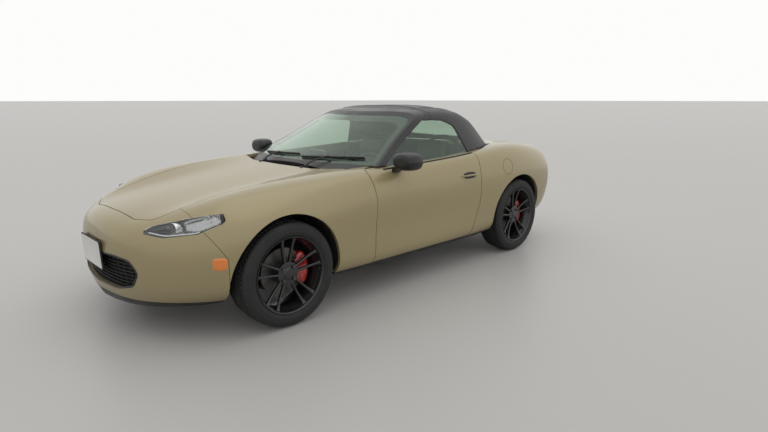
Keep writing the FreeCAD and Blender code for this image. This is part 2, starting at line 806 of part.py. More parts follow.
# Windscreen and its frame
screen_play = 0.3
frame_zone = screen_slab(0.0, screen_frame_depth).common(cabin_form)
inner_form = greenhouse(pillar_width)
glass_form = greenhouse(screen_glass_edge)
glass_rise = 12.0
base_bar_lap = 15.0
foot_lift = 7.5
glass_bottom_z = screen_base_z + glass_rise
base_bar_top = glass_bottom_z + base_bar_lap
above_base = box(-side_limit, side_limit, front_limit, rear_limit, base_bar_top, top_limit)
ring = frame_zone.cut(inner_form.common(above_base))
pocket = screen_slab(-overrun, screen_glass_depth + screen_play)
pocket = pocket.common(greenhouse(screen_glass_edge - screen_play))
pocket_floor_z = glass_bottom_z - screen_play
pocket = pocket.common(box(-side_limit, side_limit, front_limit, rear_limit, pocket_floor_z, top_limit))
body_grown = skin(-seat_gap)
tray_floor = skin(cowl_drop - seat_gap)
below_foot = box(-side_limit, side_limit, front_limit, rear_limit, 0, screen_base_z + foot_lift)
door_sweeps = []
for shape in (door_room, door_nose_sweep):
    door_sweeps.extend(both(shape.common(below_foot)))
screen_frame = ring.cut(pocket).cut(body_grown.cut(cowl_hole)).cut(tray_floor)
screen_frame = screen_frame.cut(Part.makeCompound(door_sweeps))
add("windscreen_frame", biggest(screen_frame))

screen = screen_slab(0.0, screen_glass_depth).common(glass_form)
screen = screen.common(box(-side_limit, side_limit, front_limit, rear_limit, glass_bottom_z, top_limit))
add("windscreen_glass", biggest(screen))

cowl = cowl_upper.cut(cowl_under).common(plan_prism(cowl_half_outline, 0.0, -seat_gap))
cowl = cowl.cut(Part.makeCompound(both(hood_post_room)))
add("cowl_panel", biggest(cowl))

# Fabric top and its windows: shares of wheelbase back from the windscreen's foot, and of roof_height up
window_shares = (
    (-0.20, 0.50), (-0.20, 0.888), (0.20, 0.895), (0.32, 0.912), (0.43, 0.905), (0.475, 0.87), (0.503, 0.68),
    (0.503, 0.50),
)
rear_window_shares = ((0.0, 0.915), (0.30, 0.91), (0.40, 0.895), (0.45, 0.80), (0.44, 0.775), (0.0, 0.765))
fabric_thickness = 14.0
fabric_join = 2.5
window_round = 35.0
fabric_lift = 0.5
window_points = scaled(window_shares, wheelbase, roof_height, screen_base_y)
window_radii = [0.0, 0.0] + [window_round] * 4 + [0.0, 0.0]
rear_window_half = scaled(rear_window_shares, half_width, roof_height)
rear_window_y = door_rear_y + overrun / 2
window_hole = prism("x", window_points, -side_limit, side_limit, window_radii)
window_room = prism("x", window_points, -side_limit, side_limit, window_radii, -fabric_join)
rear_window_hole = rear_prism(whole(rear_window_half), rear_window_y, window_round)
rear_window_room = rear_prism(whole(rear_window_half), rear_window_y, window_round, -seat_gap)
behind_frame = screen_slab(screen_frame_depth + fabric_join, overall_length)
fabric = cabin_form.cut(greenhouse(fabric_thickness)).common(behind_frame)
fabric_bed = skin(-fabric_lift)
fabric = fabric.cut(window_hole).cut(rear_window_hole).cut(fabric_bed)
add("soft_top", biggest(fabric))

rear_glass = glass_sheet.common(rear_window_room)
add("rear_window", biggest(rear_glass))

pane_gap = 5.0
pane = glass_sheet.common(window_room)
pane = pane.common(screen_slab(screen_frame_depth + pane_gap, overall_length))
pane_foot_z = window_seat_z + glass_play
pane = pane.common(box(half_width / 2, side_limit, front_limit, rear_limit, pane_foot_z, top_limit))
pane = biggest(pane)
add("glass_left", pane)
add("glass_right", mirrored(pane))

# Tub: floor, wells, bulkheads and the box sections that carry every panel
floor_top = 205.0
cowl_to_cabin = 38.0
door_to_bulkhead = 78.0
cabin_front_y = cowl_y + cowl_to_cabin
cabin_rear_y = door_rear_y + door_to_bulkhead
cabin_half = 600.0
tunnel_half = 118.0
tunnel_top = 430.0
axle_to_foot = 345.0
foot_front_y = front_axle_y + axle_to_foot
foot_top = 560.0
foot_outer_x = 425.0
shelf_top = 705.0
shelf_half = waist_half(opening_rear_y)
bay_half = 428.0
radiator_room = 90.0
bay_to_cowl = 45.0
bulkhead_wall = 20.0
bay_front_y = nose_y + mouth_depth + radiator_room
bay_wall_y = foot_front_y - bulkhead_wall
bay_rear_y = cowl_y - bay_to_cowl
bay_floor = 262.0
boot_half = 440.0
boot_to_tail = 200.0
boot_front_y = lid_hinge.y + lid_nose_radius + bulkhead_wall
boot_rear_y = tail_y - boot_to_tail
boot_floor = 330.0
lid_side = V(lid_half + lid_gap, 0, 0)
tub_hollows = [
    box(tunnel_half, cabin_half, cabin_front_y, cabin_rear_y, floor_top, top_limit),
    box(-cabin_half, -tunnel_half, cabin_front_y, cabin_rear_y, floor_top, top_limit),
    box(-cabin_half, cabin_half, cabin_front_y, cabin_rear_y, tunnel_top, top_limit),
    box(-door_inner_x, door_inner_x, pillar_rear_y, door_rear_y, sill_step, top_limit),
    box(tunnel_half, foot_outer_x, foot_front_y, cabin_front_y, floor_top, foot_top),
    box(-foot_outer_x, -tunnel_half, foot_front_y, cabin_front_y, floor_top, foot_top),
    box(-shelf_half, shelf_half, cabin_front_y, opening_rear_y, shelf_top, top_limit),
    box(-bay_half, bay_half, bay_front_y, bay_wall_y, bay_floor, top_limit),
    box(-bay_half, bay_half, bay_wall_y, bay_rear_y, foot_top + bulkhead_wall, top_limit),
    box(-boot_half, boot_half, boot_front_y, boot_rear_y, boot_floor, top_limit),
    box(-muffler_half, muffler_half, muffler_front_y, muffler_rear_y, 0, muffler_top),
    mouth_hole,
    hood_hole.cut(lid_bed),
    lid_hole.cut(lid_bed),
    cowl_hole.cut(cowl_bed),
    cylinder(lid_nose_radius + lid_gap, lid_hinge - lid_side, lid_hinge + lid_side),
]
front_well = arch(front_left_hub, well_radius, front_well_inner)
rear_well = arch(rear_left_hub, well_radius, rear_well_inner)
lamp_back = skin(lamp_depth + seat_gap)
lamp_room = front_prism(lamp_outline, front_axle_y - well_radius, lamp_round).cut(lamp_back)
tail_room = tail_lamp_hole.cut(lamp_back)
for shape in (front_well, rear_well, lamp_room, tail_room, door_deep_room, door_nose_sweep, pipe_room):
    tub_hollows.extend(both(shape))
tub = biggest(tub_outer.cut(Part.makeCompound(tub_hollows)))
pins = []
for ear, lug, room in hinge_parts:
    pins.extend(both(ear))
hood_pin = cylinder(
    pin_radius, hood_hinge - V(lug_half + lid_gap, 0, 0), V(hood_post_outer, hood_hinge.y, hood_hinge.z)
)
hood_pin = hood_pin.fuse(hood_post)
lid_pin_start = V(lid_half + lid_gap + lug_half, lid_hinge.y, lid_hinge.z)
lid_pin = cylinder(pin_radius, V(lid_lug_x - lug_half - lid_gap, lid_hinge.y, lid_hinge.z), lid_pin_start)
pins.extend(both(hood_pin))
pins.extend(both(lid_pin))
tub = tub.fuse(pins)
if len(tub.Solids) != 1:
    raise ValueError("a hinge pin stands free of the tub")

# The tub in three sections: engine bay, cabin and tail
tail_section_reach = 50.0
tail_section_y = cabin_rear_y + tail_section_reach
section_ends = (
    ("front_tub", front_limit, bay_wall_y - seat_gap),
    ("floor_tub", bay_wall_y, tail_section_y - seat_gap),
    ("rear_tub", tail_section_y, rear_limit),
)
for name, start, end in section_ends:
    add(name, tub.common(box(-side_limit, side_limit, start, end, 0, top_limit)))

# Lamps and mouth insert
lamp_zone = front_prism(lamp_outline, front_axle_y - well_radius, lamp_round, -seat_gap)
lamp_body = body_outer.cut(skin(lamp_depth)).common(lamp_zone).cut(hood_hole)
add("headlamps", *both(biggest(lamp_body)))
tail_lamp_zone = rear_prism(tail_lamp_outline, rear_axle_y + arch_radius, tail_lamp_round, -seat_gap)
tail_lamp_body = body_outer.cut(skin(lamp_depth)).common(tail_lamp_zone)
add("tail_lamps", *both(biggest(tail_lamp_body)))
grille_inset = 46.0
grille_sheet = 20.0
grille = skin(grille_inset).cut(skin(grille_inset + grille_sheet))
grille = grille.common(front_prism(whole(mouth_half), nose_y + mouth_depth, mouth_round, -seat_gap))
add("grille", biggest(grille))

# Cabin: dashboard, seats and steering wheel
dash_shares = (
    (0.0, 0.60), (0.0, 0.86), (0.02, 0.925), (0.30, 0.93), (0.44, 0.86), (0.42, 0.70), (0.20, 0.62),
)
dash_depth = 560.0
dash_round = 25.0
dash_outline = scaled(dash_shares, dash_depth, deck_height, cabin_front_y + seat_gap)
dash_rounds = [0.0, 0.0, dash_round, dash_round * 2, dash_round * 2, dash_round, 0.0]
dash = prism("x", dash_outline, seat_gap - cabin_half, cabin_half - seat_gap, dash_rounds)
wheel_x = 365.0
wheel_ring_radius = 178.0
wheel_ring_thickness = 15.0
wheel_tilt = math.radians(22.0)
wheel_centre = V(wheel_x, cabin_front_y + dash_depth * 0.86, deck_height * 0.79)
wheel_way = V(0, math.cos(wheel_tilt), math.sin(wheel_tilt))
column_radius = 34.0
column_gap = 48.0
column_end = wheel_centre - wheel_way * column_gap
column_start = wheel_centre - wheel_way * (dash_depth * 0.55)
spindle_radius = 10.0
hub_radius = 42.0
hub_depth = 30.0
column = cylinder(column_radius, column_start, column_end)
column = column.fuse(cylinder(spindle_radius, column_end, wheel_centre))
dash = dash.cut(plan_prism(cowl_half_outline, 0.0, seat_gap))
dash = dash.cut(screen_slab(-overrun, screen_frame_depth + seat_gap))
dash = biggest(dash).fuse(column)
add("dashboard", dash)

ring = Part.makeTorus(wheel_ring_radius, wheel_ring_thickness, wheel_centre, wheel_way)
hub_low = wheel_centre - wheel_way * hub_depth
hub = cylinder(hub_radius, hub_low, wheel_centre + wheel_way * hub_depth / 2)
hub = hub.cut(cylinder(spindle_radius + pin_play, hub_low, wheel_centre + wheel_way * pin_play))
spokes = []
wheel_up = V(0, -math.sin(wheel_tilt), math.cos(wheel_tilt))
for side, drop in ((1, 0), (-1, 0), (0, -1)):
    way = V(side, 0, 0) + wheel_up * drop
    spoke_start = wheel_centre + way * hub_radius * 0.8
    spokes.append(cylinder(wheel_ring_thickness * 0.7, spoke_start, wheel_centre + way * wheel_ring_radius))
add("steering_wheel", hub.fuse([ring] + spokes))

seat_half = 230.0
seat_x = 359.0
seat_foot_share = 0.045
seat_profile_shares = (
    (0.0, 0.045), (0.0, 0.20), (0.45, 0.17), (0.60, 0.175), (0.82, 0.80),
    (0.86, 1.0), (1.0, 1.0), (1.0, 0.84), (0.84, 0.045),
)
seat_length = 640.0
seat_height = 800.0
seat_front_y = cabin_rear_y - seat_length - lid_gap
seat_round = 30.0
seat_foot = floor_top + seat_gap - seat_foot_share * seat_height
seat_points = [(seat_front_y + a * seat_length, seat_foot + b * seat_height) for a, b in seat_profile_shares]
seat = prism("x", seat_points, seat_x - seat_half, seat_x + seat_half, [0.0] + [seat_round] * 7 + [0.0])
add("seat_left", seat)
add("seat_right", mirrored(seat))

# Engine and silencer
engine_half = 165.0
engine_length = 560.0
engine_top = 660.0
engine_rear_y = bay_wall_y - lid_gap
engine_front_y = engine_rear_y - engine_length
engine = box(-engine_half, engine_half, engine_front_y, engine_rear_y, bay_floor + seat_gap, engine_top)
add("engine_block", engine)

muffler = box(
    lid_gap - muffler_half, muffler_half - lid_gap,
    muffler_front_y + lid_gap, muffler_front_y + lid_gap + muffler_radius * 3,
    muffler_top - seat_gap - muffler_radius * 2, muffler_top - seat_gap,
)
add("exhaust", muffler.fuse(both(cylinder(pipe_radius, pipe_front, pipe_rear))))

# Mirrors on the doors: depth share and size share of each row of the housing
mirror_row_shares = (
    (0.0, 0.30), (0.0, 0.66), (0.10, 0.88), (0.40, 1.0), (0.75, 1.0), (0.96, 0.97), (1.0, 0.92), (1.0, 0.88),
)
mirror_half_width = 100.0
mirror_half_height = 62.0
mirror_depth = 118.0
mirror_square = 0.72
mirror_poles = 12
mirror_outset = 10.0
mirror_setback = 76.0
mirror_drop = 25.0
mirror_centre = V(half_width + mirror_outset, door_hinge.y + mirror_setback, deck_height - mirror_drop)
mirror_stem_half = 34.0
mirror_stem_thickness = 22.0
mirror_root_inset = 85.0
mirror_root_x = half_width - mirror_root_inset


def mirror_housing():
    net = []
    for depth, size in mirror_row_shares:
        row = []
        for i in range(mirror_poles):
            turn = 2 * math.pi * i / mirror_poles
            across = math.copysign(abs(math.cos(turn)) ** mirror_square, math.cos(turn))
            up = math.copysign(abs(math.sin(turn)) ** mirror_square, math.sin(turn))
            away = V(across * mirror_half_width * size, depth * mirror_depth, up * mirror_half_height * size)
            row.append(mirror_centre + away)
        net.append(row + row[:1])
    return net_solid(net)


stem_low = deck_height * 0.88
mirror_stem = prism(
    "y",
    [
        (mirror_root_x, stem_low),
        (mirror_centre.x, mirror_centre.z - mirror_stem_thickness),
        (mirror_centre.x, mirror_centre.z),
        (mirror_root_x, stem_low + mirror_stem_thickness * 1.5),
    ],
    mirror_centre.y + mirror_stem_half / 2, mirror_centre.y + mirror_stem_half * 2.5,
)
mirror = biggest(mirror_housing().fuse(mirror_stem).cut(fabric_bed))
add("mirror_left", mirror)
add("mirror_right", mirrored(mirror))

# Wheels: each is made round the X axis, its outer side towards +X, then set on its hub
tyre_wall = 0.3
shoulder = 34.0
crown_drop = 4.0
tyre_bead_radius = rim_radius + tyre_wall
rim_half = 96.0
barrel_thickness = 11.0
rim_lip = 8.0
rim_mount_x = 40.0
rim_hub_radius = 68.0
rim_hub_depth = 26.0
spoke_count = 10
spoke_width = 30.0
spoke_depth = 26.0
spindle_bore = 18.0
disc_radius = 140.0
disc_thickness = 20.0
disc_x = -25.0


def revolved(profile, plane_wire=None):
    """A ring from an (x, radius) outline turned about the X axis."""
    wire = plane_wire or Part.makePolygon([V(x, 0, r) for x, r in profile + profile[:1]])
    return Part.Face(wire).revolve(V(0, 0, 0), V(1, 0, 0), 360)


def tyre_solid():
    half = tyre_width / 2
    bead_half = rim_half - rim_lip - tyre_wall
    flange = rim_radius + rim_lip + tyre_wall
    belly = lerp(tyre_bead_radius, tyre_radius, 0.5)
    crown = tyre_radius - crown_drop
    edges = [
        Part.LineSegment(V(-bead_half, 0, tyre_bead_radius), V(bead_half, 0, tyre_bead_radius)),
        Part.LineSegment(V(bead_half, 0, tyre_bead_radius), V(bead_half, 0, flange)),
        Part.Arc(
            V(bead_half, 0, flange),
            V(half, 0, belly),
            V(half - shoulder / 4, 0, crown - shoulder / 2),
        ),
        Part.Arc(
            V(half - shoulder / 4, 0, crown - shoulder / 2),
            V(half - shoulder * 0.42, 0, crown - shoulder * 0.12),
            V(half - shoulder, 0, crown),
        ),
        Part.Arc(V(half - shoulder, 0, crown), V(0, 0, tyre_radius), V(shoulder - half, 0, crown)),
        Part.Arc(
            V(shoulder - half, 0, crown),
            V(shoulder * 0.42 - half, 0, crown - shoulder * 0.12),
            V(shoulder / 4 - half, 0, crown - shoulder / 2),
        ),
        Part.Arc(
            V(shoulder / 4 - half, 0, crown - shoulder / 2),
            V(-half, 0, belly),
            V(-bead_half, 0, flange),
        ),
        Part.LineSegment(V(-bead_half, 0, flange), V(-bead_half, 0, tyre_bead_radius)),
    ]
    return revolved(None, Part.Wire([edge.toShape() for edge in edges]))


def rim_solid():
    inner = rim_radius - barrel_thickness
    flange = rim_radius + rim_lip
    barrel = revolved(
        [
            (-rim_half, inner),
            (-rim_half, flange),
            (-rim_half + rim_lip, flange),
            (-rim_half + rim_lip, rim_radius),
            (rim_half - rim_lip, rim_radius),
            (rim_half - rim_lip, flange),
            (rim_half, flange),
            (rim_half, inner),
        ]
    )
    hub_end = rim_mount_x + rim_hub_depth
    hub = revolved(
        [
            (rim_mount_x, spindle_bore + pin_play),
            (rim_mount_x, rim_hub_radius),
            (hub_end, rim_hub_radius * 0.9),
            (hub_end, 0.0),
            (hub_end - rim_lip, 0.0),
            (hub_end - rim_lip, spindle_bore + pin_play),
        ]
    )
    shapes = [hub]
    reach = inner + barrel_thickness / 2
    for i in range(spoke_count):
        spoke = prism(
            "y",
            [
                (rim_mount_x + rim_lip / 2, rim_hub_radius / 2),
                (rim_half - spoke_depth * 1.2, reach),
                (rim_half - rim_lip / 2, reach),
                (rim_half - rim_lip, reach * 0.8),
                (hub_end - rim_lip / 4, rim_hub_radius / 2),
            ],
            -spoke_width / 2, spoke_width / 2,
        )
        spoke.rotate(V(0, 0, 0), V(1, 0, 0), 360 * i / spoke_count)
        shapes.append(spoke)
    return barrel.fuse(shapes)


def disc_solid():
    face = disc_x + disc_thickness
    return revolved(
        [
            (disc_x, spindle_bore + pin_play),
            (disc_x, disc_radius),
            (face, disc_radius),
            (face, rim_hub_radius),
            (rim_mount_x - seat_gap, rim_hub_radius),
            (rim_mount_x - seat_gap, spindle_bore + pin_play),
        ]
    )


tyre = tyre_solid()
rim = rim_solid()
disc = disc_solid()
for kind, shape in (("tyre", tyre), ("rim", rim), ("disc", disc)):
    for end, hub_at in (("f", front_left_hub), ("r", rear_left_hub)):
        placed = shape.translated(hub_at)
        add(kind + "_" + end + "l", placed)
        add(kind + "_" + end + "r", mirrored(placed))

# Knuckles, spindles, callipers and suspension arms
kingpin_inset = 45.5
kingpin_x = front_track / 2 - kingpin_inset
knuckle_half = 17.0
knuckle_depth = 24.0
lower_pin_z = 196.0
upper_pin_z = 424.0
arm_thickness = 18.0
arm_inner_half = 105.0
arm_end_radius = 15.0
arm_outer_half = 22.0
pin_reach = 30.0
calliper_arc = 32.0
calliper_reach = 24.0
damper_inset = 62.0
damper_gap = 3.0


def carrier(hub_at, pivot_x):
    """An upright with its spindle and its brake calliper, at a hub."""
    back_x = pivot_x - knuckle_half
    front_x = pivot_x + knuckle_half / 2
    low_y = hub_at.y - knuckle_depth
    high_y = hub_at.y + knuckle_depth
    upright = box(back_x, front_x, low_y, high_y, lower_pin_z, upper_pin_z)
    boss = cylinder(knuckle_depth * 2, V(back_x, hub_at.y, hub_at.z), V(front_x, hub_at.y, hub_at.z))
    spindle_end = hub_at + V(rim_mount_x + rim_hub_depth - rim_lip * 2, 0, 0)
    spindle = cylinder(spindle_bore, V(pivot_x, hub_at.y, hub_at.z), spindle_end)
    outer = disc_radius + calliper_reach
    low_x = hub_at.x + disc_x - lid_gap - knuckle_half
    high_x = hub_at.x + disc_x + disc_thickness + lid_gap + knuckle_half
    start = V(low_x, hub_at.y, hub_at.z)
    end = V(high_x, hub_at.y, hub_at.z)
    ring = cylinder(outer, start, end).cut(cylinder(rim_hub_radius + lid_gap * 3, start, end))
    slot = cylinder(disc_radius + lid_gap, start + V(knuckle_half, 0, 0), end - V(knuckle_half, 0, 0))
    rise = disc_radius * math.sin(math.radians(calliper_arc))
    wedge = box(low_x, high_x, hub_at.y, hub_at.y + outer, hub_at.z - rise, hub_at.z + rise)
    calliper = ring.cut(slot).common(wedge)
    bracket_y = hub_at.y + disc_radius * 0.9
    bracket_low = hub_at.z - knuckle_depth
    bracket = box(back_x, low_x + knuckle_half, hub_at.y, bracket_y, bracket_low, hub_at.z + knuckle_depth)
    return upright.fuse([boss, spindle, calliper, bracket])


def suspension(hub_at, well_x, pivot_x):
    """Lower and upper arms from the well's wall to the pivot line, with a damper."""
    pieces = []
    for low, share in ((lower_pin_z - arm_thickness - seat_gap, 1.0), (upper_pin_z + seat_gap, 0.62)):
        outline = [
            (well_x + seat_gap, hub_at.y - arm_inner_half * share),
            (pivot_x, hub_at.y - arm_end_radius),
            (pivot_x, hub_at.y + arm_end_radius),
            (well_x + seat_gap, hub_at.y + arm_inner_half * share),
        ]
        pieces.append(prism("z", outline, low, low + arm_thickness))
        end = V(pivot_x, hub_at.y, low)
        pieces.append(cylinder(arm_end_radius, end, end + V(0, 0, arm_thickness)))
    damper_foot = V(hub_at.x - tyre_width / 2 - damper_inset, hub_at.y, lower_pin_z - arm_thickness / 2)
    damper_top = hub_at.z + well_radius - damper_gap
    pieces.append(cylinder(arm_outer_half, damper_foot, V(damper_foot.x, hub_at.y, damper_top)))
    return pieces[0].fuse(pieces[1:])


knuckle = carrier(front_left_hub, kingpin_x)
front_arms = suspension(front_left_hub, front_well_inner, kingpin_x)
for level, way in ((lower_pin_z, 1), (upper_pin_z, -1)):
    start = V(kingpin_x, front_axle_y, level - way * arm_thickness / 2)
    end = V(kingpin_x, front_axle_y, level + way * pin_reach)
    front_arms = front_arms.fuse(cylinder(pin_radius, start, end))
    bore_end = V(kingpin_x, front_axle_y, level + way * (pin_reach + seat_gap))
    knuckle = knuckle.cut(cylinder(pin_radius + pin_play, start, bore_end))
add("knuckle_left", knuckle)
add("knuckle_right", mirrored(knuckle))
add("front_suspension", *both(front_arms))

rear_pivot_x = rear_track / 2 - kingpin_inset
rear_arms = suspension(rear_left_hub, rear_well_inner, rear_pivot_x)
rear_carrier = carrier(rear_left_hub, rear_pivot_x)
rear_upright = box(
    rear_pivot_x - knuckle_half, rear_pivot_x,
    rear_axle_y - arm_end_radius, rear_axle_y + arm_end_radius,
    lower_pin_z - arm_thickness, upper_pin_z + arm_thickness,
)
shaft_start = V(rear_well_inner + seat_gap, rear_axle_y, tyre_radius)
half_shaft = cylinder(spindle_bore, shaft_start, V(rear_pivot_x, rear_axle_y, tyre_radius))
rear_side = rear_arms.fuse([rear_carrier, rear_upright, half_shaft])
add("rear_suspension", *both(rear_side))

for name, shape in built.items():
    shape.exportStep(os.path.join("parts", name + ".step"))
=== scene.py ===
import json
import math

import bmesh
import bpy
import numpy as np
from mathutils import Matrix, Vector

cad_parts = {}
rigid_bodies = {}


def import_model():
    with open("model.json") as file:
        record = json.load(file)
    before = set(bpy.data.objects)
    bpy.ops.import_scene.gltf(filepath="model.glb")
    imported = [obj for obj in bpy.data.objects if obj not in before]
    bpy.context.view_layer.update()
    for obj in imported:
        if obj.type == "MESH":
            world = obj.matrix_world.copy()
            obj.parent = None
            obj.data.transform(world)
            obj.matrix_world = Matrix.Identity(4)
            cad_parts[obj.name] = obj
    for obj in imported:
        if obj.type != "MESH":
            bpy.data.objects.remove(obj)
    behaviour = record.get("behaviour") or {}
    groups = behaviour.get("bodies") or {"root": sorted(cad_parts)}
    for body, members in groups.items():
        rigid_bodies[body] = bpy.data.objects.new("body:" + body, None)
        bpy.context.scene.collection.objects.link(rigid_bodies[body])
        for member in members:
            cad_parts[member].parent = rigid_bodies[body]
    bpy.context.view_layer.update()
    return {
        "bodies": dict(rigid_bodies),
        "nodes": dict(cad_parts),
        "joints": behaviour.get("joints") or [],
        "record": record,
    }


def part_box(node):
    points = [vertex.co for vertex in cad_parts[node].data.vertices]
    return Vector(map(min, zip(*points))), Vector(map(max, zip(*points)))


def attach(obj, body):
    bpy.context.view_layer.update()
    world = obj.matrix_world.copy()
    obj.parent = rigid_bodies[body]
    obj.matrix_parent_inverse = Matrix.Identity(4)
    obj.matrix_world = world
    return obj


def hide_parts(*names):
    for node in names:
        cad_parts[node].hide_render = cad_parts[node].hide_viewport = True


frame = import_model()
nodes = frame["nodes"]
print("frame loaded:", len(nodes), "nodes")


# Shader maths: one output of a node, on which plain arithmetic adds Math nodes
class Wire:
    def __init__(self, finish, socket):
        self.finish, self.socket = finish, socket

    def __add__(self, other):
        return self.finish.maths("ADD", self, other)

    def __mul__(self, other):
        return self.finish.maths("MULTIPLY", self, other)


class Finish:
    def __init__(self, name, store=bpy.data.materials):
        self.owner = store.new(name)
        self.owner.use_nodes = True
        self.tree = self.owner.node_tree
        self.tree.nodes.clear()
        self.place = self.node("ShaderNodeTexCoord", {}, (), "Object")

    def node(self, kind, settings, inputs=(), output=0):
        made = self.tree.nodes.new(kind)
        for key, value in settings.items():
            setattr(made, key, value)
        for key, value in inputs.items() if isinstance(inputs, dict) else enumerate(inputs):
            if isinstance(value, Wire):
                self.tree.links.new(value.socket, made.inputs[key])
            else:
                made.inputs[key].default_value = value
        return Wire(self, made.outputs[output])

    def maths(self, operation, *values):
        return self.node("ShaderNodeMath", {"operation": operation}, values)

    def noise(self, scale, detail=3.0):
        return self.node("ShaderNodeTexNoise", {}, {"Vector": self.place, "Scale": scale, "Detail": detail}, "Fac")

    def cells(self, scale, output="Distance"):
        return self.node("ShaderNodeTexVoronoi", {}, {"Vector": self.place, "Scale": scale}, output)

    def along(self, letter, way=None):
        return self.node("ShaderNodeSeparateXYZ", {}, [way or self.place], letter)

    def span(self, value, low, high, first=0.0, last=1.0, **settings):
        return self.node("ShaderNodeMapRange", settings, [value, low, high, first, last])

    def tint(self, share, first, second):
        inputs = {0: share, 6: first if isinstance(first, Wire) else (*first, 1.0), 7: (*second, 1.0)}
        return self.node("ShaderNodeMix", {"data_type": "RGBA"}, inputs, 2)

    def surface(self, base, rough, bump=None, depth=0.001, **sockets):
        values = {key.replace("_", " "): value for key, value in sockets.items()}
        values.update({"Base Color": base, "Roughness": rough})
        if bump is not None:
            values["Normal"] = self.node("ShaderNodeBump", {}, {"Height": bump, "Distance": depth}, "Normal")
        return self.close(self.node("ShaderNodeBsdfPrincipled", {}, values))

    def close(self, shader, kind="ShaderNodeOutputMaterial"):
        end = self.tree.nodes.new(kind)
        self.tree.links.new(shader.socket, end.inputs["Surface"])
        return self.owner


def scaled(colour, factor, more=0.0):
    return tuple(part * factor + more for part in colour)


# Body paint: sand with fine flakes under a clear coat, and a breath of road dust low down
paint = {"sand": (0.345, 0.283, 0.148), "dark": (0.293, 0.24, 0.126), "dust": (0.25, 0.225, 0.18),
         "dustTop": 0.32, "dustFull": 0.16, "metallic": 0.25, "coat": 0.45, "dustyCoat": 0.2}


def sandPaint(name):
    f = Finish(name)
    flake = f.span(f.cells(2600.0, "Color"), 0.0, 1.0)
    base = f.tint(flake, paint["sand"], paint["dark"])
    low = f.span(f.along("Z"), paint["dustTop"], paint["dustFull"]) * f.span(f.noise(9.0, 5.0), 0.35, 0.75)
    base = f.tint(low * 0.5, base, paint["dust"])
    rough = f.span(low, 0.0, 1.0, 0.4, 0.62)
    coat = f.span(low, 0.0, 1.0, paint["coat"], paint["dustyCoat"])
    return f.surface(base, rough, f.noise(420.0, 2.0), 0.00003,
                     Metallic=paint["metallic"], Coat_Weight=coat, Coat_Roughness=0.04)


def grained(name, colour, grain=900.0, depth=0.00012, rough=(0.5, 0.68), **sockets):
    f = Finish(name)  # moulded plastic or rubber: leather-like cells, cloudy sheen
    cloud = f.noise(14.0)
    base = f.tint(cloud, colour, scaled(colour, 1.35, 0.004))
    return f.surface(base, f.span(cloud, 0.3, 0.7, *rough), f.cells(grain), depth, **sockets)


def glossy(name, colour, rough=0.12, **sockets):
    f = Finish(name)  # hard gloss with a faint unevenness
    cloud = f.noise(6.0)
    sheen = f.span(cloud, 0.3, 0.7, rough, rough * 1.5 + 0.02)
    return f.surface(f.tint(cloud, colour, scaled(colour, 0.86)), sheen, f.noise(60.0), 0.00002, **sockets)


def glassPane(name, tint, head=0.045, rough=0.015):
    f = Finish(name)  # thin pane: what is behind shows through its tint, and the sky lies on it at a slant
    haze = f.span(f.noise(5.0, 4.0), 0.4, 0.8, rough, rough * 3)
    pane = f.node("ShaderNodeBsdfTransparent", {}, [(*tint, 1.0)])
    mirror = {"Base Color": (*tint, 1.0), "Metallic": 1.0, "Roughness": haze}
    shine = f.node("ShaderNodeBsdfPrincipled", {}, mirror)
    slant = f.node("ShaderNodeLayerWeight", {}, {"Blend": 0.5}, "Facing")
    share = slant * slant * slant * slant * slant * (1 - head) + head  # Schlick's rise from head on to grazing
    return f.close(f.node("ShaderNodeMixShader", {}, [share, pane, shine]))


def streaked(f, first, second, share, rough, duller):
    streak = f.noise(240.0, 4.0)  # bare metal: two shades, and a little duller in one of them
    sheen = f.span(streak, 0.3, 0.7, rough, duller)
    return f.surface(f.tint(streak if share is None else share, first, second), sheen,
                     f.noise(130.0), 0.00004, Metallic=1.0)


def metal(name, colour, rough):
    return streaked(Finish(name), colour, scaled(colour, 0.8), None, rough, rough + 0.12)


def bowlSilver(name, inner, outer):
    f = Finish(name)  # lamp reflector: dark on the nose side, silver round the projector and the bowl
    return streaked(f, inner, outer, f.span(f.maths("ABSOLUTE", f.along("X")), 0.48, 0.57), 0.18, 0.3)


def canvas(name, colour, pitch=900.0, depth=0.0002):
    f = Finish(name)  # two crossed threads, worked on the piece's own place
    warp, weft = (f.maths("SINE", f.along(letter) * (pitch * 6.283)) for letter in "XY")
    return f.surface(f.tint(f.noise(30.0), colour, scaled(colour, 1.4)), 0.85, warp * weft, depth,
                     Sheen_Weight=0.3, Sheen_Roughness=0.5)


sandFinish = sandPaint("sandPaint")
blackTrim = grained("blackTrim", (0.018, 0.018, 0.018))
pianoBlack = glossy("pianoBlack", (0.008, 0.008, 0.009), 0.26)
tintedGlass = glassPane("tintedGlass", (0.82, 0.895, 0.84), 0.055)
clearLens = glassPane("clearLens", (0.97, 0.975, 0.98), 0.04, 0.01)
mirrorSilver = metal("mirrorSilver", (0.8, 0.81, 0.82), 0.02)
topCanvas = canvas("topCanvas", (0.014, 0.014, 0.015))
seatFabric = canvas("seatFabric", (0.016, 0.016, 0.017), 400.0)
rubberMat = grained("rubberMat", (0.016, 0.016, 0.017), 300.0, 0.0003, (0.7, 0.82))
webbing = canvas("webbing", (0.02, 0.02, 0.021), 600.0)
seatLeather = grained("seatLeather", (0.014, 0.014, 0.015), 700.0, 0.0002, (0.4, 0.55))
leather = grained("leather", (0.015, 0.015, 0.016), 800.0, 0.00018, (0.42, 0.58))
redThread = canvas("redThread", (0.3, 0.012, 0.01), 700.0)
sealRubber = grained("sealRubber", (0.01, 0.01, 0.01), 1200.0, 0.00006, (0.55, 0.72))
tyreRubber = grained("tyreRubber", (0.009, 0.009, 0.009), 1500.0, 0.00008, (0.62, 0.8))
wheelBlack = glossy("wheelBlack", (0.008, 0.008, 0.009), 0.24, Coat_Weight=0.4, Coat_Roughness=0.08)
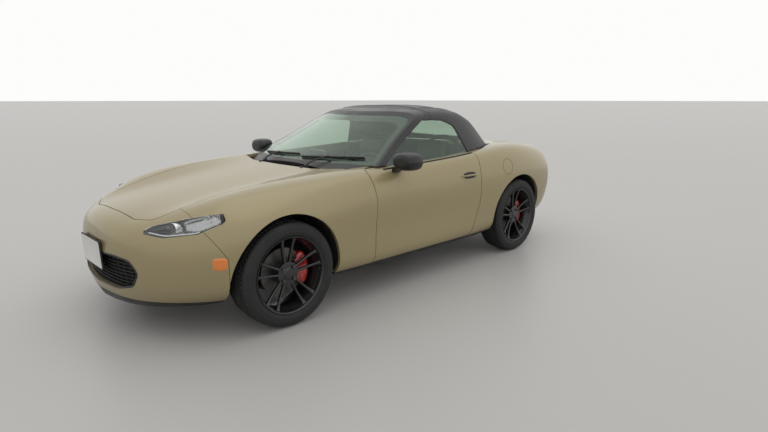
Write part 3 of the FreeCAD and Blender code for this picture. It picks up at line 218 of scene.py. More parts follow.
darkSteel = metal("darkSteel", (0.12, 0.12, 0.125), 0.35)
darkIron = metal("darkIron", (0.055, 0.055, 0.057), 0.5)
steel = metal("steel", (0.48, 0.47, 0.45), 0.3)
satinSilver = metal("satinSilver", (0.55, 0.55, 0.56), 0.28)
chrome = metal("chrome", (0.72, 0.72, 0.72), 0.06)
castAlloy = metal("castAlloy", (0.34, 0.34, 0.35), 0.42)
discIron = metal("discIron", (0.13, 0.127, 0.124), 0.34)
calliperRed = glossy("calliperRed", (0.4, 0.012, 0.01), 0.22, Coat_Weight=1.0, Coat_Roughness=0.05)
lampDark = glossy("lampDark", (0.035, 0.036, 0.04), 0.16, Metallic=0.6)
lampSilver = bowlSilver("lampSilver", (0.05, 0.05, 0.052), (0.42, 0.42, 0.415))
lampStrip = glossy("lampStrip", (0.85, 0.87, 0.88), 0.2, Coat_Weight=1.0)
darkGlass = glossy("darkGlass", (0.01, 0.011, 0.013), 0.03, Coat_Weight=1.0, Coat_Roughness=0.01)
palePlate = glossy("palePlate", (0.76, 0.76, 0.72), 0.35)
pewter = grained("pewter", (0.1, 0.1, 0.098), 500.0, 0.0001, (0.42, 0.55), Metallic=0.5)
milkyPlastic = glossy("milkyPlastic", (0.42, 0.4, 0.33), 0.35)
amberLens = glossy("amberLens", (0.8, 0.22, 0.02), 0.06, Coat_Weight=1.0, Coat_Roughness=0.02)
redLens = glossy("redLens", (0.34, 0.008, 0.008), 0.1,
                 Specular_IOR_Level=0.25, Coat_Weight=0.3, Coat_Roughness=0.02)
brightRed = glossy("brightRed", (0.62, 0.03, 0.02), 0.1, Coat_Weight=1.0, Coat_Roughness=0.02)

# Finishes listed under each material slot: the first is put on the solids in that slot, the rest are used by pieces of
# this script
groups = {"paint": [sandFinish], "trim": [blackTrim, leather, sealRubber, rubberMat, satinSilver, pewter, milkyPlastic],
          "gloss_trim": [pianoBlack, darkGlass, palePlate], "glass": [tintedGlass, mirrorSilver], "fabric": [topCanvas],
          "seat_cloth": [seatFabric, seatLeather, webbing, redThread],
          "lamp": [lampDark, clearLens, lampSilver, lampStrip],
          "tail_lamp": [redLens, amberLens, brightRed], "cast_metal": [castAlloy, calliperRed],
          "steel": [steel, darkSteel, chrome], "wheel_paint": [wheelBlack], "tyre": [tyreRubber], "disc": [discIron]}
for piece in nodes.values():
    for held in piece.material_slots:
        held.material = groups[held.material.name][0]
for name in ("knuckle_left", "knuckle_right", "rear_suspension", "front_suspension"):
    nodes[name].material_slots[0].material = darkIron
print("finishes on", len(nodes), "nodes")


# Mesh making: a net is an array of rows x columns x 3, and neighbours in it are joined by quads
def unit(vectors):
    return vectors / np.linalg.norm(vectors, axis=-1, keepdims=True)


def smoothLine(points, count):
    p = np.asarray(points, float)  # Catmull-Rom curve through the points, even in its own parameter
    t = np.linspace(0, len(p) - 1, count)
    i = np.minimum(t.astype(int), len(p) - 2)
    f = (t - i)[:, None]
    a, b, c, d = (p[np.clip(k, 0, len(p) - 1)] for k in (i - 1, i, i + 1, i + 2))
    return 0.5 * (2 * b + (c - a) * f + (2 * a - 5 * b + 4 * c - d) * f**2 + (3 * b - a - 3 * c + d) * f**3)


def evenly(line, count, closed=False):
    line = np.vstack([line, line[:1]]) if closed else line  # points at even distances along a line
    gone = np.concatenate([[0.0], np.cumsum(np.linalg.norm(np.diff(line, axis=0), axis=1))])
    at = np.linspace(0, gone[-1], count, endpoint=not closed)
    return np.stack([np.interp(at, gone, line[:, k]) for k in range(line.shape[1])], 1)


def roundedRing(corners, radius, count):
    p = np.asarray(corners, float)  # closed outline, a parabola in each corner that starts radius before it
    before, after = np.roll(p, 1, 0) - p, np.roll(p, -1, 0) - p
    toBefore, toAfter = (np.linalg.norm(v, axis=1, keepdims=True) for v in (before, after))
    start = (p + before / toBefore * np.minimum(radius, toBefore / 2))[:, None]
    end = (p + after / toAfter * np.minimum(radius, toAfter / 2))[:, None]
    t = np.linspace(0, 1, 7)[None, :, None]
    bends = start * (1 - t) ** 2 + 2 * p[:, None] * t * (1 - t) + end * t**2
    return evenly(bends.reshape(-1, 2), count, True)


def mirrored(half):
    return np.vstack([half, half[-2:0:-1] * (-1, 1)])  # half an outline, from its top middle to its foot, made whole


def shrunk(ring, shares):
    middle = ring.mean(0)  # one ring for each share, drawn in towards the middle
    return middle + (ring - middle)[None] * np.asarray(shares)[:, None, None]


def powered(values, power):
    return np.sign(values) * np.abs(values) ** power


def oval(halfWidth, halfHeight, count=16, square=1.0):
    a = np.linspace(0, 2 * np.pi, count, endpoint=False)  # superellipse: cosine and sine to the power square
    return np.stack([halfWidth * powered(np.cos(a), square), halfHeight * powered(np.sin(a), square)], 1)


def pebble(centre, half, square=0.4, rows=17, columns=32):
    v = np.linspace(-np.pi / 2, np.pi / 2, rows)[:, None]  # rounded block: superellipsoid with its poles up and down
    u = np.linspace(0, 2 * np.pi, columns, endpoint=False)[None]
    ring, rise = powered(np.cos(v), square), powered(np.sin(v), square) + 0 * u
    net = np.stack([ring * powered(np.cos(u), square), ring * powered(np.sin(u), square), rise], -1)
    return net * half + np.asarray(centre)


def turned(profile, steps):
    along, radius = np.asarray(profile, float).T[..., None]  # (along, radius) pairs turned about the X axis
    a = np.linspace(0, 2 * np.pi, steps, endpoint=False)[None]
    return np.stack([along + 0 * a, radius * np.cos(a), radius * np.sin(a)], -1)


def placed(net, origin, axis, up):
    x = unit(np.asarray(axis, float))  # a net's own X axis laid along axis, its Z axis kept near up
    y = unit(np.cross(up, x))
    return net @ np.array([x, y, np.cross(x, y)]) + np.asarray(origin)


def swept(path, outline, up=(0, 0, 1), scale=1.0, closed=False):
    path = np.asarray(path, float)  # outline (across, upwards) carried square to the path
    way = unit(np.roll(path, -1, 0) - np.roll(path, 1, 0) if closed else np.gradient(path, axis=0))
    side = unit(np.cross(way, up))
    rise = np.cross(side, way)
    reach = outline[None, :, :1] * side[:, None] + outline[None, :, 1:] * rise[:, None]
    return path[:, None] + reach * np.broadcast_to(scale, len(path))[:, None, None]


def capped(net):
    ends = [np.broadcast_to(row.mean(0), row.shape)[None] for row in (net[0], net[-1])]
    return np.concatenate([ends[0], net, ends[1]])


def leaned(net, centre, lean):
    c, s = math.cos(lean), math.sin(lean)  # turned about the X direction through centre, top towards the rear
    dy, dz = net[..., 1] - centre[1], net[..., 2] - centre[2]
    return np.stack([net[..., 0], centre[1] + dy * c + dz * s, centre[2] - dy * s + dz * c], -1)


def link(name, mesh):
    made = bpy.data.objects.new(name, mesh)
    bpy.context.scene.collection.objects.link(made)
    return made


def evaluated(piece):
    return piece.evaluated_get(bpy.context.evaluated_depsgraph_get())


def laid(net, node, way):
    flat = net.reshape(-1, 3)  # each point dropped on a node, along a direction such as -z
    mesh = bpy.data.meshes.new("probe")
    mesh.from_pydata(flat.tolist(), [], [])
    probe = link("probe", mesh)
    wrap = probe.modifiers.new("onto", "SHRINKWRAP")
    wrap.target, wrap.offset, wrap.wrap_mode, wrap.wrap_method = nodes[node], 0.0, "ABOVE_SURFACE", "PROJECT"
    setattr(wrap, "use_project_" + way[1], True)
    wrap.use_positive_direction, wrap.use_negative_direction = way[0] == "+", way[0] == "-"
    fresh = np.empty(flat.size)
    evaluated(probe).data.vertices.foreach_get("co", fresh)
    bpy.data.objects.remove(probe)
    bpy.data.meshes.remove(mesh)
    fresh = fresh.reshape(-1, 3)
    missed = np.abs(fresh - flat).max(1) < 1e-7
    if missed.any():
        k = "xyz".index(way[1])
        others = np.delete(flat, k, 1)  # a point that met nothing takes the height of the nearest one that did
        gap = np.linalg.norm(others[missed][:, None] - others[~missed][None], axis=2)
        fresh[missed, k] = fresh[~missed, k][gap.argmin(1)]
        print("  laid on", node, "past its edge:", missed.sum(), "of", len(flat), "by", round(gap.min(1).max(), 4))
    return fresh.reshape(net.shape)


def cast(node, way, first, second, start=3.0):
    first, second = np.broadcast_arrays(first, second)  # the two other coordinates, dropped from start metres off
    k = "xyz".index(way[1])
    net = np.stack([first, second], -1)
    return laid(np.insert(net.astype(float), k, start if way[0] == "-" else -start, axis=-1), node, way)


def moulded(ring, node, way, crown=0.004, sink=0.003, rings=9, edge=6):
    s = np.concatenate([[1.0], np.linspace(1, 0, rings)])  # pad: shrinking rings on a panel, lifted by 1 - share^edge
    flat = shrunk(ring, s)
    net = cast(node, way, flat[..., 0], flat[..., 1])
    lift = crown * (1 - s**edge)
    lift[0] = -sink
    net[..., "xyz".index(way[1])] += lift[:, None] * (1 if way[0] == "-" else -1)
    return net


class Piece:
    def __init__(self):
        self.points, self.quads, self.count = [], [], 0

    def grid(self, net, around=True, along=False):
        rows, columns = net.shape[:2]
        index = np.arange(rows * columns).reshape(rows, columns) + self.count
        if along:
            index = np.vstack([index, index[:1]])
        if around:
            index = np.hstack([index, index[:, :1]])
        quads = np.stack([index[:-1, :-1], index[1:, :-1], index[1:, 1:], index[:-1, 1:]], -1)
        self.quads.append(quads.reshape(-1, 4))
        self.points.append(net.reshape(-1, 3))
        self.count += rows * columns
        return self

    def rod(self, path, outline, up=(0, 0, 1), scale=1.0):
        return self.grid(capped(swept(path, outline, up, scale)))

    def loop(self, path, outline, up):
        return self.grid(swept(path, outline, up, closed=True), along=True)

    def lathe(self, profile, steps, place, axis=(0, 0, 1), up=None, along=False):
        if up is None:
            up = (0, 1, 0) if axis == (0, 0, 1) else (0, 0, 1)
        return self.grid(placed(turned(profile, steps), place, axis, up), along=along)

    def block(self, centre, half, square=0.4, rows=17, columns=32):
        return self.grid(pebble(centre, half, square, rows, columns))

    def made(self, name, finish, body="body", slot="", side=1, both=False, crease=35.0, wall=0.0, stands=()):
        points, quads = np.vstack(self.points), np.vstack(self.quads)
        flip = np.array([-1.0, 1.0, 1.0])
        if side < 0:
            points, quads = points * flip, quads[:, ::-1]
        if both:
            quads = np.vstack([quads, quads[:, ::-1] + len(points)])
            points = np.vstack([points, points * flip])
        mesh = bpy.data.meshes.new(name)
        mesh.from_pydata(points.tolist(), [], quads.tolist())
        dress(mesh, crease)
        mesh.materials.append(finish)
        piece = link(name, mesh)
        if wall:
            thick = piece.modifiers.new("wall", "SOLIDIFY")
            thick.thickness, thick.offset = wall, 0.0
        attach(piece, body)
        if stands:
            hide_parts(*stands)
        return piece


def dress(mesh, crease):
    work = bmesh.new()
    work.from_mesh(mesh)
    bmesh.ops.remove_doubles(work, verts=work.verts, dist=2e-5)
    bmesh.ops.recalc_face_normals(work, faces=work.faces)
    work.to_mesh(mesh)
    work.free()
    mesh.shade_smooth()
    mesh.set_sharp_from_angle(angle=math.radians(crease))


sides = ((1, "Left"), (-1, "Right"))
right = np.array([1.0, 0.0, 0.0])
fourCorners = np.array([(-1.0, -1.0), (1.0, -1.0), (1.0, 1.0), (-1.0, 1.0)])
carHalf, deckHeight = 0.8675, 0.905  # the unit sizes of the outlines below

# Road wheels. Tread: 72 pitches, each of four uneven rows; round grooves across, slanted sipes in the blocks
tyreSet = {"radius": 0.308, "crown": 0.004, "crownHalf": 0.0685, "pitches": 72, "rows": (0.0, 0.6, 0.68, 0.93),
           "groove": 0.007, "sipe": 0.0055, "sipedFrom": 0.022, "sipedTo": 0.0785, "slant": 1.2,
           "grooves": (-0.048, -0.017, 0.017, 0.048), "wall": (0.0048, 0.0036),
           "between": (0.0, 0.032, 0.063, 0.078, 0.079),
           "side": [(0.086, 0.299), (0.0915, 0.2945), (0.0955, 0.288), (0.0985, 0.2805), (0.0995, 0.2798),
                    (0.1003, 0.2785), (0.1012, 0.274), (0.1022, 0.267), (0.1025, 0.26), (0.102, 0.252),
                    (0.1023, 0.2512), (0.1008, 0.245), (0.0975, 0.236), (0.093, 0.2285), (0.089, 0.2246),
                    (0.0878, 0.2162), (0.04, 0.2162)]}


def tyreNet():
    s = tyreSet
    rows = (np.arange(s["pitches"])[:, None] + np.array(s["rows"])).ravel() / s["pitches"] * 2 * np.pi
    cut = np.array([0.0, 0.0, 1.0, 1.0] * s["pitches"])
    wide, narrow = s["wall"]
    edges = [[g - wide, g - narrow, g + narrow, g + wide] for g in s["grooves"]]
    between = np.array(s["between"])
    x = np.sort(np.concatenate([np.ravel(edges), between, -between[1:]]))
    nearest = np.abs(x[:, None] - np.array(s["grooves"])[None]).min(1)
    low = np.where(nearest < (wide + narrow) / 2, s["groove"], 0.0)
    ribs = np.where((np.abs(x) > s["sipedFrom"]) & (np.abs(x) < s["sipedTo"]), s["sipe"], 0.0)
    radius = s["radius"] - s["crown"] * (x / s["crownHalf"]) ** 2
    radius = radius[:, None] - np.maximum(low[:, None], ribs[:, None] * cut[None])
    side = np.array(s["side"])
    xs = np.concatenate([-side[::-1, 0], x, side[:, 0]])
    turns = rows[None] + s["slant"] * np.minimum(np.abs(xs), between[-1])[:, None]
    plain = np.ones(len(rows))[None]
    radii = np.vstack([side[::-1, 1:] * plain, radius, side[:, 1:] * plain])
    return np.stack([xs[:, None] * plain, radii * np.cos(turns), radii * np.sin(turns)], -1)


rimSet = {"pairs": 5, "hubSpread": 0.012, "lipSpread": 0.041, "start": 0.04, "end": 0.213,
          "face": [(0.04, 0.08, 0.14, 0.18, 0.2, 0.213), (0.06, 0.0595, 0.0625, 0.069, 0.076, 0.083)],
          "depth": [(0.0, 0.5, 1.0), (0.014, 0.012, 0.01)],
          "half": [(0.0, 0.18, 0.55, 0.88, 1.0), (0.0125, 0.0085, 0.008, 0.01, 0.015)],
          "nuts": 4, "nutPlace": 0.059, "nutCircle": 0.05,
          "nut": [(-0.004, 0.0), (-0.004, 0.01), (0.0095, 0.01), (0.0125, 0.007), (0.013, 0.0)],
          "valve": [(0.08, 0.208, 0.0), (0.088, 0.2, 0.0), (0.097, 0.193, 0.0)]}
rimBarrel = [(0.096, 0.2215), (0.0958, 0.2234), (0.094, 0.2241), (0.09, 0.224), (0.0882, 0.22),
             (0.0875, 0.2158), (0.06, 0.215), (0.045, 0.201), (-0.02, 0.199), (-0.05, 0.21),
             (-0.0875, 0.2158), (-0.0885, 0.22), (-0.09, 0.2239), (-0.095, 0.2239), (-0.096, 0.222),
             (-0.0955, 0.213), (-0.086, 0.2075), (-0.05, 0.203), (-0.02, 0.1935), (0.045, 0.195),
             (0.062, 0.2075), (0.08, 0.2115), (0.09, 0.215), (0.0945, 0.2185)]
rimHub = [(0.066, 0.0), (0.066, 0.023), (0.0652, 0.0268), (0.063, 0.0284), (0.0618, 0.03), (0.06, 0.0345),
          (0.0588, 0.05), (0.0598, 0.061), (0.0575, 0.068), (0.05, 0.0705), (0.043, 0.069), (0.041, 0.064),
          (0.041, 0.0)]


def spokeNets():
    s = rimSet  # each spoke: a crowned bar whose width, depth and dish follow its radius
    r = np.linspace(s["start"], s["end"], 18)
    share = (r - r[0]) / (r[-1] - r[0])
    face, depth, half = np.interp(r, *s["face"]), np.interp(share, *s["depth"]), np.interp(share, *s["half"])
    ring = oval(1.0, 1.0, 16, 0.62)
    for pair in range(s["pairs"]):
        for way in (-1, 1):
            across = way * (s["hubSpread"] + (s["lipSpread"] - s["hubSpread"]) * share)
            y = across[:, None] + half[:, None] * ring[None, :, 0]
            x = (face - depth)[:, None] + depth[:, None] * ring[None, :, 1] * (1 - 0.12 * np.abs(ring[None, :, 0]))
            z = np.sqrt(np.maximum(r[:, None] ** 2 - across[:, None] ** 2, 0.0)) + 0 * y
            a = 2 * np.pi * pair / s["pairs"]
            yield np.stack([x, y * np.cos(a) - z * np.sin(a), y * np.sin(a) + z * np.cos(a)], -1)


def hubOf(corner):
    low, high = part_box("rim_" + corner)  # as on the left side, where every wheel piece is made
    return np.array([abs(low[0] + high[0]), low[1] + high[1], low[2] + high[2]]) / 2


def makeWheel(corner, side):
    s, hub, body = rimSet, hubOf(corner), "wheel_" + corner
    tread = Piece().grid(tyreNet() + hub, along=True)
    tread.made("tyreTread_" + corner, tyreRubber, body, side=side, crease=28.0, stands=["tyre_" + corner])
    rim = Piece().grid(turned(rimBarrel, 144) + hub, along=True).grid(turned(rimHub, 72) + hub)
    for net in spokeNets():
        rim.grid(capped(net) + hub)
    rim.made("wheelRim_" + corner, wheelBlack, body, side=side, crease=40.0, stands=["rim_" + corner])
    nuts = Piece()
    for a in np.pi / 4 + np.arange(s["nuts"]) * np.pi / 2:
        at = np.array([s["nutPlace"], s["nutCircle"] * np.cos(a), s["nutCircle"] * np.sin(a)])
        nuts.grid(turned(s["nut"], 6) + hub + at)
    nuts.rod(hub + np.array(s["valve"]), oval(0.0035, 0.0035, 10))
    nuts.made("wheelNuts_" + corner, darkSteel, body, side=side)
    print("wheel", corner)


calliperSet = {"inner": 0.08, "outer": 0.1705, "half": 0.74, "back": -0.0515, "front": 0.0225, "round": 0.02,
               "drawn": 0.42, "waist": 0.05, "caps": (-0.38, 0.38), "capPlace": (0.0215, 0.128),
               "cap": [(0.0, 0.0), (0.0, 0.019), (0.004, 0.018), (0.0052, 0.015), (0.0046, 0.0)]}


def makeCalliper(corner, body, side):
    s = calliperSet  # arc block about the hub: outline in x and radius, drawn in at both ends of its arc, with a waist
    low, high = (s["back"], s["inner"]), (s["front"], s["outer"])
    outline = roundedRing([low, (low[0], high[1]), high, (high[0], low[1])], s["round"], 48)
    middle = np.array([(low[0] + high[0]) / 2, (low[1] + high[1]) / 2])
    a = np.linspace(-1, 1, 73)[:, None]
    size = 1 - s["drawn"] * np.abs(a) ** 9 - s["waist"] * np.exp(-((a / 0.16) ** 2))
    x, radius = np.moveaxis(middle + (outline - middle)[None] * size[..., None], -1, 0)
    net = np.stack([x, radius * np.cos(a * s["half"]), radius * np.sin(a * s["half"])], -1)
    block = Piece().grid(capped(net + hubOf(corner)))
    for at in s["caps"]:
        x, radius = s["capPlace"]
        way = np.array([0.0, math.cos(at), math.sin(at)])
        block.lathe(s["cap"], 36, hubOf(corner) + way * radius + right * x, (1, 0, 0))
    block.made("brakeCalliper_" + corner, calliperRed, body, side=side, crease=55.0)


carriers = {"fl": ("knuckle_left", 1), "fr": ("knuckle_right", -1), "rl": ("body", 1), "rr": ("body", -1)}
for corner, (carrier, side) in carriers.items():
    makeWheel(corner, side)
    makeCalliper(corner, carrier, side)


# Headlamps: a bucket behind a clear lens, with a bezel, a projector, a side bowl and a light strip along the foot
headlampSet = {"outline": [(0.49, 0.655), (0.52, 0.692), (0.7, 0.742), (0.845, 0.77), (0.875, 0.722), (0.79, 0.66),
                           (0.63, 0.636)],
               "round": 0.016, "fit": 0.988, "depth": 0.05, "lens": 0.003, "projector": (0.555, 0.617),
               "sideBowl": (0.665, 0.66), "aim": (0.16, -1.0, 0.03), "sideAim": (0.45, -1.0, 0.03),
               "bezel": [(0.995, 0.99, 0.935, 0.905), (0.03, 0.0035, 0.0055, 0.02)],
               "eye": [(-0.03, 0.0), (-0.03, 0.027), (0.004, 0.03), (0.008, 0.0292), (0.009, 0.0272),
                       (0.004, 0.0258), (0.0, 0.0255), (-0.002, 0.0)],
               "glass": [(-0.004, 0.0), (0.0, 0.0255), (0.006, 0.0235), (0.0115, 0.018), (0.015, 0.01),
                         (0.0162, 0.0)],
               "bowl": [(-0.026, 0.0), (-0.023, 0.009), (-0.012, 0.0175), (0.003, 0.0225), (0.0045, 0.0235),
                        (0.003, 0.0245), (-0.014, 0.02), (-0.028, 0.0)],
               "strip": (-2.9, -0.25), "stripDrawn": (0.93, 0.86)}


def makeHeadlamps():
    s = headlampSet
    whole = roundedRing(np.array(s["outline"]) * (carHalf, deckHeight), s["round"], 120)
    middle = whole.mean(0)
    ring = shrunk(whole, [s["fit"]])[0]
    share = np.linspace(1, 0, 15)
    flat = middle + (ring - middle)[None] * share[:, None, None]
    face = cast("headlamps", "+y", flat[..., 0], flat[..., 1])
    lens = Piece().grid(face + (0.0, 0.0012, 0.0))
    lens.made("headlampLens", clearLens, both=True, wall=s["lens"], stands=["headlamps"])
    depth = s["depth"] * (1 - share**5) + 0.004
    bucket = face.copy()
    bucket[..., 1] += depth[:, None] - 0.35 * (face[..., 1] - face[-1:, :1, 1]) * (1 - share[:, None] ** 2)
    Piece().grid(bucket).made("headlampBucket", lampSilver, both=True, wall=0.002)
    drawn, back = np.array(s["bezel"])
    bezel = middle + (ring - middle)[None] * drawn[:, None, None]
    rim = cast("headlamps", "+y", bezel[..., 0], bezel[..., 1])
    rim[..., 1] += back[:, None]
    Piece().grid(rim).made("headlampBezel", lampDark, both=True, wall=0.0012)
    eye, bowl = cast("headlamps", "+y", *np.array([s["projector"], s["sideBowl"]]).T)
    eye, bowl = eye + (0.0, 0.026, 0.0), bowl + (0.004, 0.022, 0.0)
    rings = Piece().lathe(s["eye"], 48, eye, s["aim"]).lathe(s["bowl"], 40, bowl, s["sideAim"])
    rings.made("headlampRings", chrome, slot="lamp", both=True)
    Piece().lathe(s["glass"], 40, eye, s["aim"]).made("projectorLens", darkGlass, slot="lamp", both=True)
    angles = np.arctan2(ring[:, 1] - middle[1], ring[:, 0] - middle[0])
    order = np.argsort(angles)
    lower = ring[order][(angles[order] > s["strip"][0]) & (angles[order] < s["strip"][1])]
    strip = evenly(middle + (lower - middle) * np.array(s["stripDrawn"]), 60)
    path = cast("headlamps", "+y", strip[:, 0], strip[:, 1]) + (0.0, 0.014, 0.0)
    Piece().rod(path, oval(0.0035, 0.0045, 12, 0.7), (0, -1, 0.2)).made("headlampStrip", lampStrip, both=True)
    print("headlamps")


# Mouth: black slats on the grille, and a soft black lip round the opening
mouthSet = {"outline": [(0.0, 0.5), (0.3, 0.505), (0.44, 0.49), (0.5, 0.42), (0.45, 0.335), (0.3, 0.3), (0.0, 0.295)],
            "round": 0.028, "slats": 8, "slat": (0.0085, 0.003), "uprights": 17, "upright": (0.0022, 0.0055),
            "reach": 0.395, "edge": 0.01, "ends": 0.006,
            "slatProud": 0.012, "uprightProud": 0.008, "lip": (0.005, 0.0035), "lipOut": 0.0035}


def makeMouth():
    s = mouthSet
    half = np.array(s["outline"]) * (carHalf, deckHeight)
    ring = roundedRing(mirrored(half), s["round"], 240)
    rising = half[np.argsort(half[:, 1])]
    bars = Piece()
    for level in np.linspace(ring[:, 1].min(), ring[:, 1].max(), s["slats"] + 2)[1:-1]:
        reach = np.interp(level, rising[:, 1], np.maximum(rising[:, 0], 0.25)) - s["edge"]
        line = cast("grille", "+y", np.linspace(-1, 1, 61) * reach, level) - (0.0, s["slatProud"], 0.0)
        bars.rod(line, oval(*s["slat"], 12, 0.7))
    for x in np.linspace(-1, 1, s["uprights"]) * s["reach"]:
        top = np.interp(abs(x), half[:3, 0], half[:3, 1]) - s["ends"]
        foot = np.interp(abs(x), half[:3:-1, 0], half[:3:-1, 1]) + s["ends"]
        line = cast("grille", "+y", x, np.linspace(foot, top, 21)) - (0.0, s["uprightProud"], 0.0)
        bars.rod(line, oval(*s["upright"], 10, 0.7), (0, -1, 0))
    bars.made("mouthSlats", sealRubber)
    wide = ring + unit(ring - ring.mean(0)) * s["lipOut"]
    path = cast("front_bumper", "+y", wide[:, 0], wide[:, 1])
    Piece().loop(path, oval(*s["lip"], 12), (0, -1, 0)).made("mouthLip", pianoBlack)
    print("mouth")


# Blank plates: a pressed rim round a flat field, on a black carrier. Steps: distance in from the edge, and height
plateSet = {"front": {"centre": (0.0, -1.9705, 0.436), "half": (0.1525, 0.076), "lean": 0.035, "way": -1},
            "rear": {"centre": (0.0, 1.9475, 0.494), "half": (0.26, 0.055), "lean": 0.0, "way": 1},
            "round": 0.012, "base": 0.0065, "grow": 0.006, "stays": (-0.085, 0.085), "stayPlace": -1.964,
            "carrier": [(0.02, 0.0), (0.0, 0.0), (0.0, 0.006), (0.002, 0.0075), (0.012, 0.0075), (0.5, 0.0075)],
            "plate": [(0.02, 0.0065), (0.0, 0.0065), (0.0, 0.008), (0.0035, 0.0094), (0.0065, 0.0082), (0.5, 0.0082)]}


def rimmedPlate(half, steps):
    ring = roundedRing(half * fourCorners, plateSet["round"], 96)
    reach, height = np.array(steps).T
    size = (np.abs(ring) / half).max(1)[None, :, None]
    inward = np.sign(ring)[None] * np.minimum(reach[:, None, None], np.abs(ring)[None])
    flat = ring[None] - inward * size
    flat[-1] = 0.0
    return flat, height


def makePlate(name):
    s = plateSet[name]
    for kind, finish, grow in (("Carrier", blackTrim, plateSet["grow"]), ("Plate", palePlate, 0.0)):
        flat, height = rimmedPlate(np.array(s["half"]) + grow, plateSet[kind.lower()])
        y = s["way"] * (height[:, None] - plateSet["base"] + s["lean"] * flat[..., 1])
        net = np.stack([flat[..., 0], y, flat[..., 1]], -1) + np.array(s["centre"])
        Piece().grid(net).made(name + kind, finish, crease=30.0)
    if name == "front":
        stays = Piece()
        for x in plateSet["stays"]:
            z = np.linspace(0.365, 0.52, 15)
            path = np.stack([np.full(15, x), np.full(15, plateSet["stayPlace"]), z], -1)
            stays.rod(path, oval(0.014, 0.004, 12, 0.5), (0, -1, 0))
            back = path[10] + np.array([(0, 0, 0), (0, 0.03, 0.01), (0, 0.06, 0.018)])
            stays.rod(smoothLine(back, 12), oval(0.012, 0.006, 12, 0.5))
        stays.made("frontPlateStays", blackTrim)
    print("plate", name)


# Side markers, handles, mirrors' glass, window strips, filler flap and aerial
sideSet = {"marker": (-1.588, 0.446, 0.031, 0.033), "handle": (0.44, 0.715, 0.09), "flap": (0.925, 0.742, 0.062),
           "mirror": (0.8775, -0.2415, 0.88), "mirrorHalf": (0.0835, 0.0505), "belt": (-0.395, 0.56),
           "waist": [(-0.607, -0.098, 0.352, 0.603), (0.753, 0.7495, 0.7495, 0.7443)], "aerial": (-0.6, 1.16),
           "mast": [(0, 0, -0.004), (0, 0.004, 0.012), (0, 0.03, 0.06), (0, 0.08, 0.15)]}


def makeSides():
    s = sideSet
    y, z, halfLong, halfTall = s["marker"]
    marker = moulded(oval(halfLong, halfTall, 48, 0.5) + (y, z), "front_bumper", "-x", 0.0045)
    for side, word in sides:
        Piece().grid(marker).made("sideMarker" + word, amberLens, side=side)
    y, z, half = s["handle"]
    t = np.linspace(0, 1, 41)
    handle = cast("door_left", "-x", y - half + 2 * half * t, z + 0.004 * np.sin(np.pi * t))
    handle[:, 0] += 0.026 * np.sin(np.pi * t) ** 0.45 - 0.003
    size = 0.72 + 0.28 * np.sin(np.pi * t) ** 0.5
    cup = moulded(oval(half * 0.8, 0.024, 64, 0.7) + (y, z), "door_left", "-x", 0.001, 0.002, edge=12)
    share = np.concatenate([[1.0, 1.0], np.linspace(1, 0, 9)[1:]])
    lift = 0.0022 * (1 - share**2) + 0.001
    lift[0] = -0.004
    flat = oval(*s["mirrorHalf"], 64, 0.72)[None] * share[:, None, None]
    pane = np.stack([flat[..., 0], lift[:, None] + 0 * flat[..., 0], flat[..., 1]], -1) + np.array(s["mirror"])
    y = np.linspace(*s["belt"], 70)
    belt = cast("door_left", "-z", np.interp(y, *s["waist"]) + 0.0045, y)
    for side, word in sides:
        body = "door_" + word.lower()
        grip = Piece().rod(handle, oval(0.0125, 0.0062, 16, 0.75), scale=size)
        grip.made("doorHandle" + word, sandFinish, body, side=side)
        Piece().grid(cup).made("handleCup" + word, blackTrim, body, side=side)
        Piece().grid(pane).made("mirrorGlass" + word, mirrorSilver, body, side=side)
        Piece().rod(belt, oval(0.0065, 0.006, 12, 0.6)).made("beltStrip" + word, sealRubber, body, side=side)
    y, z, radius = s["flap"]
    circle = oval(radius, radius, 64) + (y, z)
    groove = cast("quarter_left", "-x", circle[:, 0], circle[:, 1])
    Piece().loop(groove, oval(0.0014, 0.001, 8), (1, 0, 0)).made("fillerSeam", sealRubber)
    mast = smoothLine(cast("quarter_right", "-z", *s["aerial"]) + np.array(s["mast"]), 30)
    taper = np.interp(np.arange(30), [0, 4, 6, 29], [2.6, 1.6, 1.0, 0.6])
    Piece().rod(mast, oval(0.0045, 0.0045, 12), (1, 0, 0), taper).made("aerial", blackTrim)
    print("side pieces")


# Wipers: arms and blades that lie on the windscreen. The screen's own form: p across, q up
screenSet = {"foot": (-0.6005, 0.838, 0.7, 0.15), "head": (-0.0025, 1.163, 0.585, 0.105), "drop": 0.042,
             "normal": (-0.48, 0.88),
             "pivot": [(-0.014, 0.0), (-0.014, 0.016), (0.006, 0.015), (0.012, 0.01), (0.013, 0.0)],
             "wipers": [((0.86, 0.155), (0.1, 0.085), (0.33, -0.075)), ((0.02, 0.13), (-0.7, 0.075), (-0.44, -0.075))]}


def onScreen(place, lift):
    s, (p, q) = screenSet, place  # half width and bow grow evenly with q; the screen bows back with the square of p
    y0, z0, half0, bow0 = s["foot"]
    y1, z1, half1, bow1 = s["head"]
    half, bow = half0 + (half1 - half0) * q, (bow0 + (bow1 - bow0) * q) * p * p
    y = y0 + (y1 - y0) * q + bow + lift * s["normal"][0]
    return np.stack([p * half, y, z0 + (z1 - z0) * q - s["drop"] * q * p * p + lift * s["normal"][1]], -1)


